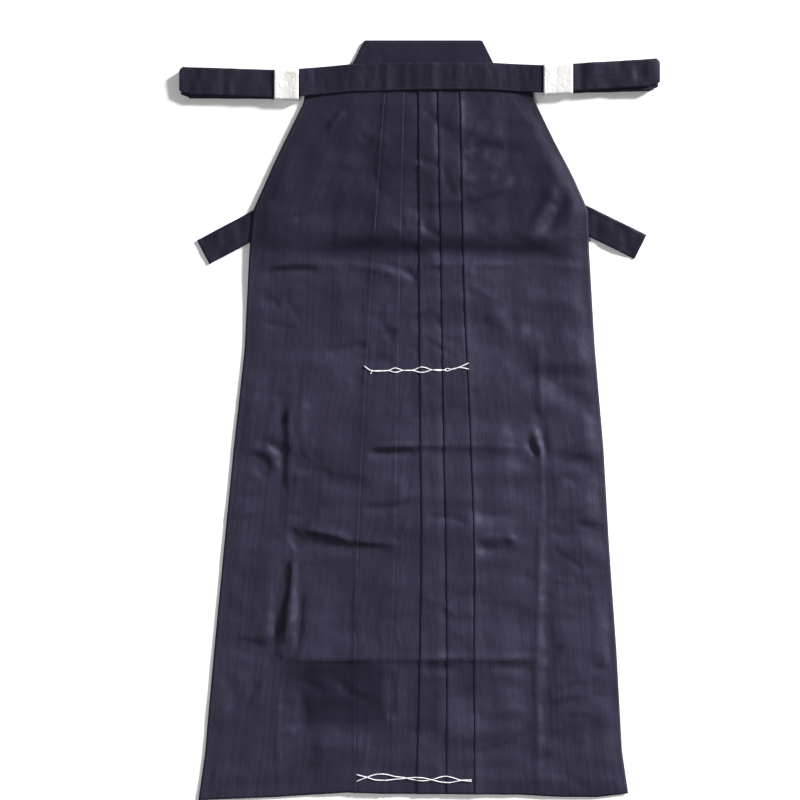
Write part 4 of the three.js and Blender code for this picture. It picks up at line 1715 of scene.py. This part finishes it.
def rounded(points: Sequence[Place], step: float = 1.5) -> list[Place]:
    """Draws a smooth line through points in the plane.

    Args:
        points: The points.
        step: Distance between its samples.

    Returns:
        The line's samples.
    """
    at = np.concatenate([[0], np.cumsum([math.dist(a, b) for a, b in zip(points, points[1:])])])
    wanted = np.linspace(0, at[-1], max(3, int(at[-1] / step)))
    columns = [curve_through(wanted, at, [p[k] for p in points]) for k in (0, 1)]
    return list(zip(*(c.tolist() for c in columns)))


@dataclass(frozen=True)
class Basting:
    """A line of white basting: two strands that cross in lozenges, with free ends.

    Each strand is a list of (x, y) places; the strands pass over each other by turns.
    """

    strands: tuple[tuple[Place, ...], ...]
    height: float = 0.75  # of a strand's middle over the cloth
    weave: float = 0.35  # how far it rises and sinks as it crosses the other strand
    weave_pace: float = 0.5

    def routes(self) -> list[list[tuple[float, float, float]]]:
        """Lays the strands on the front's surface.

        Returns:
            The places of each strand's middle.
        """
        found = []
        for number, strand in enumerate(self.strands):
            line = rounded(strand)
            x, y = (np.array(v) for v in zip(*line))
            over = self.weave * np.sin(np.arange(len(x)) * self.weave_pace + number * math.pi)
            z = HEAP.top(x, y) + self.height + over
            found.append(list(zip(x.tolist(), sagged(x, y).tolist(), z.tolist())))
        return found


BASTINGS = {
    "basting_upper": Basting(
        (
            (
                (-72.1, 72.8), (-62.7, 66.7), (-52.0, 66.4), (-40.8, 66.2), (-30.0, 69.9),
                (-20.1, 66.9), (-7.4, 66.9), (6.0, 71.2), (19.5, 67.5), (35.7, 67.4),
                (40.0, 69.4), (44.0, 68.2), (55.9, 71.2), (68.0, 76.4),
            ),
            (
                (-62.9, 61.6), (-62.4, 64.4), (-52.0, 65.4), (-40.4, 66.6), (-29.6, 64.1),
                (-20.1, 66.5), (-7.4, 66.6), (5.6, 64.0), (19.5, 67.1), (35.7, 67.0),
                (40.2, 65.9), (44.4, 67.6), (55.9, 70.4), (68.4, 68.7),
            ),
        )
    ),
    "basting_hem": Basting(
        (
            (
                (-82.1, -477.0), (-68.0, -480.6), (-58.0, -483.6), (-45.1, -484.2), (-30.0, -482.8),
                (-15.5, -481.2), (-6.0, -480.2), (2.6, -479.8), (18.2, -482.7), (29.0, -485.6),
                (42.0, -486.8), (58.6, -483.6), (72.1, -482.6),
            ),
            (
                (-82.1, -486.5), (-68.0, -480.4), (-58.0, -476.9), (-47.0, -475.8), (-30.0, -479.0),
                (-15.5, -480.8), (-6.0, -483.0), (4.7, -484.2), (18.2, -483.1), (29.0, -479.6),
                (39.8, -478.4), (58.6, -483.4), (72.4, -484.6),
            ),
        )
    ),
}


@dataclass(frozen=True)
class Stitch:
    """One stitch: its middle, its direction in the plane and its length."""

    place: tuple[float, float, float]
    angle: float
    length: float


@dataclass(frozen=True)
class Stitching:
    """Rows of small stitches, joined in one mesh."""

    name: str
    stitches: Sequence[Stitch]
    finish: Finish
    width: float = 0.5

    def build(self, material: bpy.types.Material) -> None:
        """Makes each stitch as a slim bead.

        Args:
            material: The thread.
        """
        bm = bmesh.new()
        for stitch in self.stitches:
            turn = Matrix.Rotation(stitch.angle, 4, "Z")
            size = Matrix.Diagonal((stitch.length * MM, self.width * MM, self.width * MM, 1.0))
            place = Matrix.Translation(Vector(stitch.place) * MM)
            bmesh.ops.create_uvsphere(
                bm, u_segments=6, v_segments=4, radius=0.5, matrix=place @ turn @ size
            )
        for face in bm.faces:
            face.smooth = True
        piece = finished(self.name, bm)
        dress(piece, material)
        LOG.info("%s: %d stitches", self.name, len(self.stitches))


def stitch_row(
    line: Sequence[Place], surface: Callable[[float, float], float], pitch: float, length: float
) -> list[Stitch]:
    """Spaces stitches along a line on a surface.

    Args:
        line: The line's places.
        surface: Gives the height of the cloth's face at a place.
        pitch: Distance from one stitch to the next.
        length: Length of a stitch.

    Returns:
        The stitches.
    """
    at = np.concatenate([[0], np.cumsum([math.dist(a, b) for a, b in zip(line, line[1:])])])
    wanted = np.arange(pitch / 2, at[-1], pitch)
    x, y = (np.interp(wanted, at, [p[k] for p in line]) for k in (0, 1))
    ahead_x, ahead_y = (np.interp(wanted + 0.5, at, [p[k] for p in line]) for k in (0, 1))
    angles = np.arctan2(ahead_y - y, ahead_x - x)
    return [
        Stitch((float(a), float(b), surface(float(a), float(b)) + STITCH_RISE), float(turn), length)
        for a, b, turn in zip(x, y, angles)
    ]


def drooped(stitches: list[Stitch], droop: Callable[[float, float], float]) -> list[Stitch]:
    """Moves stitches along the garment.

    Args:
        stitches: The stitches.
        droop: Gives the new y of a place.

    Returns:
        The moved stitches.
    """
    return [
        Stitch((s.place[0], droop(s.place[0], s.place[1]), s.place[2]), s.angle, s.length)
        for s in stitches
    ]


def on_front(x: float, y: float) -> float:
    """Returns the height of the front's face at one place."""
    return float(HEAP.top(np.array([x]), np.array([y]))[0])


def front_droop(x: float, y: float) -> float:
    """Returns where a place of the front comes to lie along the garment."""
    return float(sagged(np.array([x]), np.array([y]))[0])


def band_droop(x: float, y: float) -> float:
    """Returns where a place of the band comes to lie along the garment."""
    return y - float(np.interp(x, *SAG_WAIST))


STITCH_RISE = 0.08
SIDE_INSET = 5.0
SIDE_ROWS = (  # from, to, samples, pitch, length: below the hips and above them
    (HEM_Y + 20.0, 225.0, 60, 6.5, 1.4),
    (235.0, 425.0, 30, 4.0, 1.8),
)


def front_stitching() -> list[Stitch]:
    """Sews the hem and the side edges.

    Returns:
        Their stitches.
    """
    hem = [(x, HEM_Y + HEM_DEPTH - 1.5) for x in np.linspace(-284.0, 278.0, 60)]
    found = stitch_row(hem, on_front, 5.0, 1.5)
    for low, high, samples, pitch, length in SIDE_ROWS:
        for side, inset in ((SIDE_LEFT, SIDE_INSET), (SIDE_RIGHT, -SIDE_INSET)):
            heights = np.linspace(low, high, samples)
            line = [(float(side(np.array([y]))[0]) + inset, float(y)) for y in heights]
            found += stitch_row(line, on_front, pitch, length)
    return drooped(found, front_droop)


def band_stitching(band: Waistband) -> list[Stitch]:
    """Returns the stitches along the waistband's lower edge."""
    line = [(float(x), band.low + 2.2) for x in np.linspace(band.left + 3, band.right - 3, 90)]
    return drooped(stitch_row(line, band.surface, 3.2, 2.0), band_droop)


def board_stitching(board: Board, inset: float = 4.0) -> list[Stitch]:
    """Sews round the back board, a little inside its edge.

    Args:
        board: The board.
        inset: How far inside.

    Returns:
        The stitches.
    """
    top, low = board.top - inset, board.top - board.height + inset
    corners = [
        (board.middle + side * (width / 2 - inset * 1.4), y)
        for side, width, y in (
            (-1, board.bottom_width, low),
            (-1, board.top_width, top),
            (1, board.top_width, top),
            (1, board.bottom_width, low),
        )
    ]

    def face(x: float, y: float) -> float:
        """Returns the height of the board's face, which is flat."""
        return board.thick

    return stitch_row(corners + corners[:1], face, 3.4, 2.2)


# ---------------------------------------------------------------- the stage


@dataclass(frozen=True)
class Lamp:
    """A square soft light: where it stands from the garment's middle, in metres and watts."""

    name: str
    way: tuple[float, float, float]
    distance: float
    size: float
    power: float

    def build(self) -> None:
        """Adds the light, turned to the garment."""
        data = bpy.data.lights.new(self.name, "AREA")
        data.shape, data.size, data.energy = "SQUARE", self.size, self.power
        lamp = bpy.data.objects.new(self.name, data)
        way = Vector(self.way)
        lamp.location = way.normalized() * self.distance
        lamp.rotation_euler = way.to_track_quat("Z", "Y").to_euler()
        bpy.context.scene.collection.objects.link(lamp)


@dataclass(frozen=True)
class Studio:
    """A pale floor, a soft key light from the right, fill all round and the camera above."""

    centre: Place = (-23.6, 27.0)
    view: float = 1078.0  # width of the picture at the floor
    lens: float = 85.0
    sensor: float = 36.0
    lamps: tuple[Lamp, ...] = (
        Lamp("key", (0.80, 0.55, 0.44), 9.0, 2.0, 2350.0),
        Lamp("overhead", (-0.45, -0.40, 1.0), 4.5, 2.2, 52.0),
    )
    fill: float = 0.22
    floor_size: float = 14.0  # from its middle to its edge, in metres
    floor_drop: float = 0.3

    def camera(self) -> None:
        """Puts the camera straight above."""
        data = bpy.data.cameras.new("camera")
        data.lens, data.sensor_width, data.clip_end = self.lens, self.sensor, 60.0
        camera = bpy.data.objects.new("camera", data)
        camera.location = Vector((*self.centre, self.view * self.lens / self.sensor)) * MM
        bpy.context.scene.collection.objects.link(camera)
        bpy.context.scene.camera = camera

    def build(self) -> None:
        """Makes the floor, the lights and the surroundings."""
        bm = bmesh.new()
        bmesh.ops.create_grid(bm, x_segments=2, y_segments=2, size=self.floor_size)
        for vertex in bm.verts:
            vertex.co.z = -self.floor_drop * MM
        floor = finished("floor", bm)
        made = Nodes("pale_floor")
        cloud = made.noise(made.place(), 1.5)
        made.link(made.mix(cloud, (0.93, 0.93, 0.93, 1.0), (0.95, 0.95, 0.95, 1.0)), "Base Color")
        made.set(Roughness=0.9, Specular_IOR_Level=0.1)
        floor.data.materials.append(made.material)
        for lamp in self.lamps:
            lamp.build()
        world = bpy.data.worlds.new("studio")
        world.use_nodes = True
        world.node_tree.nodes["Background"].inputs["Color"].default_value = (1.0, 1.0, 1.0, 1.0)
        world.node_tree.nodes["Background"].inputs["Strength"].default_value = self.fill
        bpy.context.scene.world = world
        bpy.context.scene.view_settings.view_transform = "Standard"


# Patches of painted shade on the legs, where the tone is lowered.
PAINTED_SHADE_PATCHES = (
    PaintedShadePatch((-152.0, -412.0), (-38.0, -326.0), 0.85, 12.0),
    PaintedShadePatch((-184.0, -384.0), (-120.0, -326.0), 0.5, 14.0),
    PaintedShadePatch((-2.0, -410.0), (38.0, -338.0), 0.6, 9.0),
    PaintedShadePatch((80.0, 262.0), (230.0, 440.0), 0.6, 28.0),
    PaintedShadePatch((-150.0, 218.0), (206.0, 242.0), 0.6, 7.0),
)
LEG_TWILL = TwillFinish("leg_twill", painted_shade_patches=PAINTED_SHADE_PATCHES)
STRAP_TWILL = TwillFinish(
    "strap_twill",
    deep=(0.0070, 0.0060, 0.0122, 1.0),
    pale=(0.0150, 0.0131, 0.0239, 1.0),
    shade_from=1000.0,
)
BOARD_TWILL = TwillFinish(
    "board_twill",
    deep=(0.0078, 0.0066, 0.0142, 1.0),
    pale=(0.0160, 0.0138, 0.0272, 1.0),
    shade_from=1000.0,
)
BASTING_COTTON = ThreadFinish("basting_cotton", (0.82, 0.82, 0.84, 1.0), (0.6, 0.6, 0.66, 1.0))
SEWING_THREAD = ThreadFinish("sewing_thread", (0.02, 0.018, 0.03, 1.0), (0.012, 0.01, 0.02, 1.0))


def main() -> None:
    """Builds the looks, piece by piece."""
    logging.basicConfig(level=logging.INFO, format="%(name)s %(message)s")
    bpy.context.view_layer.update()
    studio = Studio()
    studio.camera()
    leg, strap = LEG_TWILL.build(), STRAP_TWILL.build()
    white, dark = BASTING_COTTON.build(), SEWING_THREAD.build()

    for panel in leg_panels():
        panel.build(leg)
    band = Waistband()
    band.build(strap)
    BackBoard().build(BOARD_TWILL.build())
    for side, route in FRONT_STRAPS.items():
        lines = turned_lines(route.lines())
        Strap(f"front_strap_{side}", lines, corners=(6.0, 1.2)).build(strap)
        paper = PaperFinish(f"sleeve_paper_{side}", route.sleeve_shade_span).build()
        PaperSleeve(f"paper_sleeve_{side}", route).build(paper)
    for side, route in BACK_STRAPS.items():
        Strap(f"back_strap_{side}", turned_lines(back_strap_lines(route))).build(strap)
    for name, basting in BASTINGS.items():
        Threads(name, basting.routes()).build(white)
    Stitching("front_stitches", front_stitching(), Finish.LEG).build(dark)
    Stitching("band_stitches", band_stitching(band), Finish.STRAP).build(dark)
    Stitching("board_stitches", board_stitching(BOARD), Finish.BOARD).build(dark)

    studio.build()


if __name__ == "__main__":
    main()
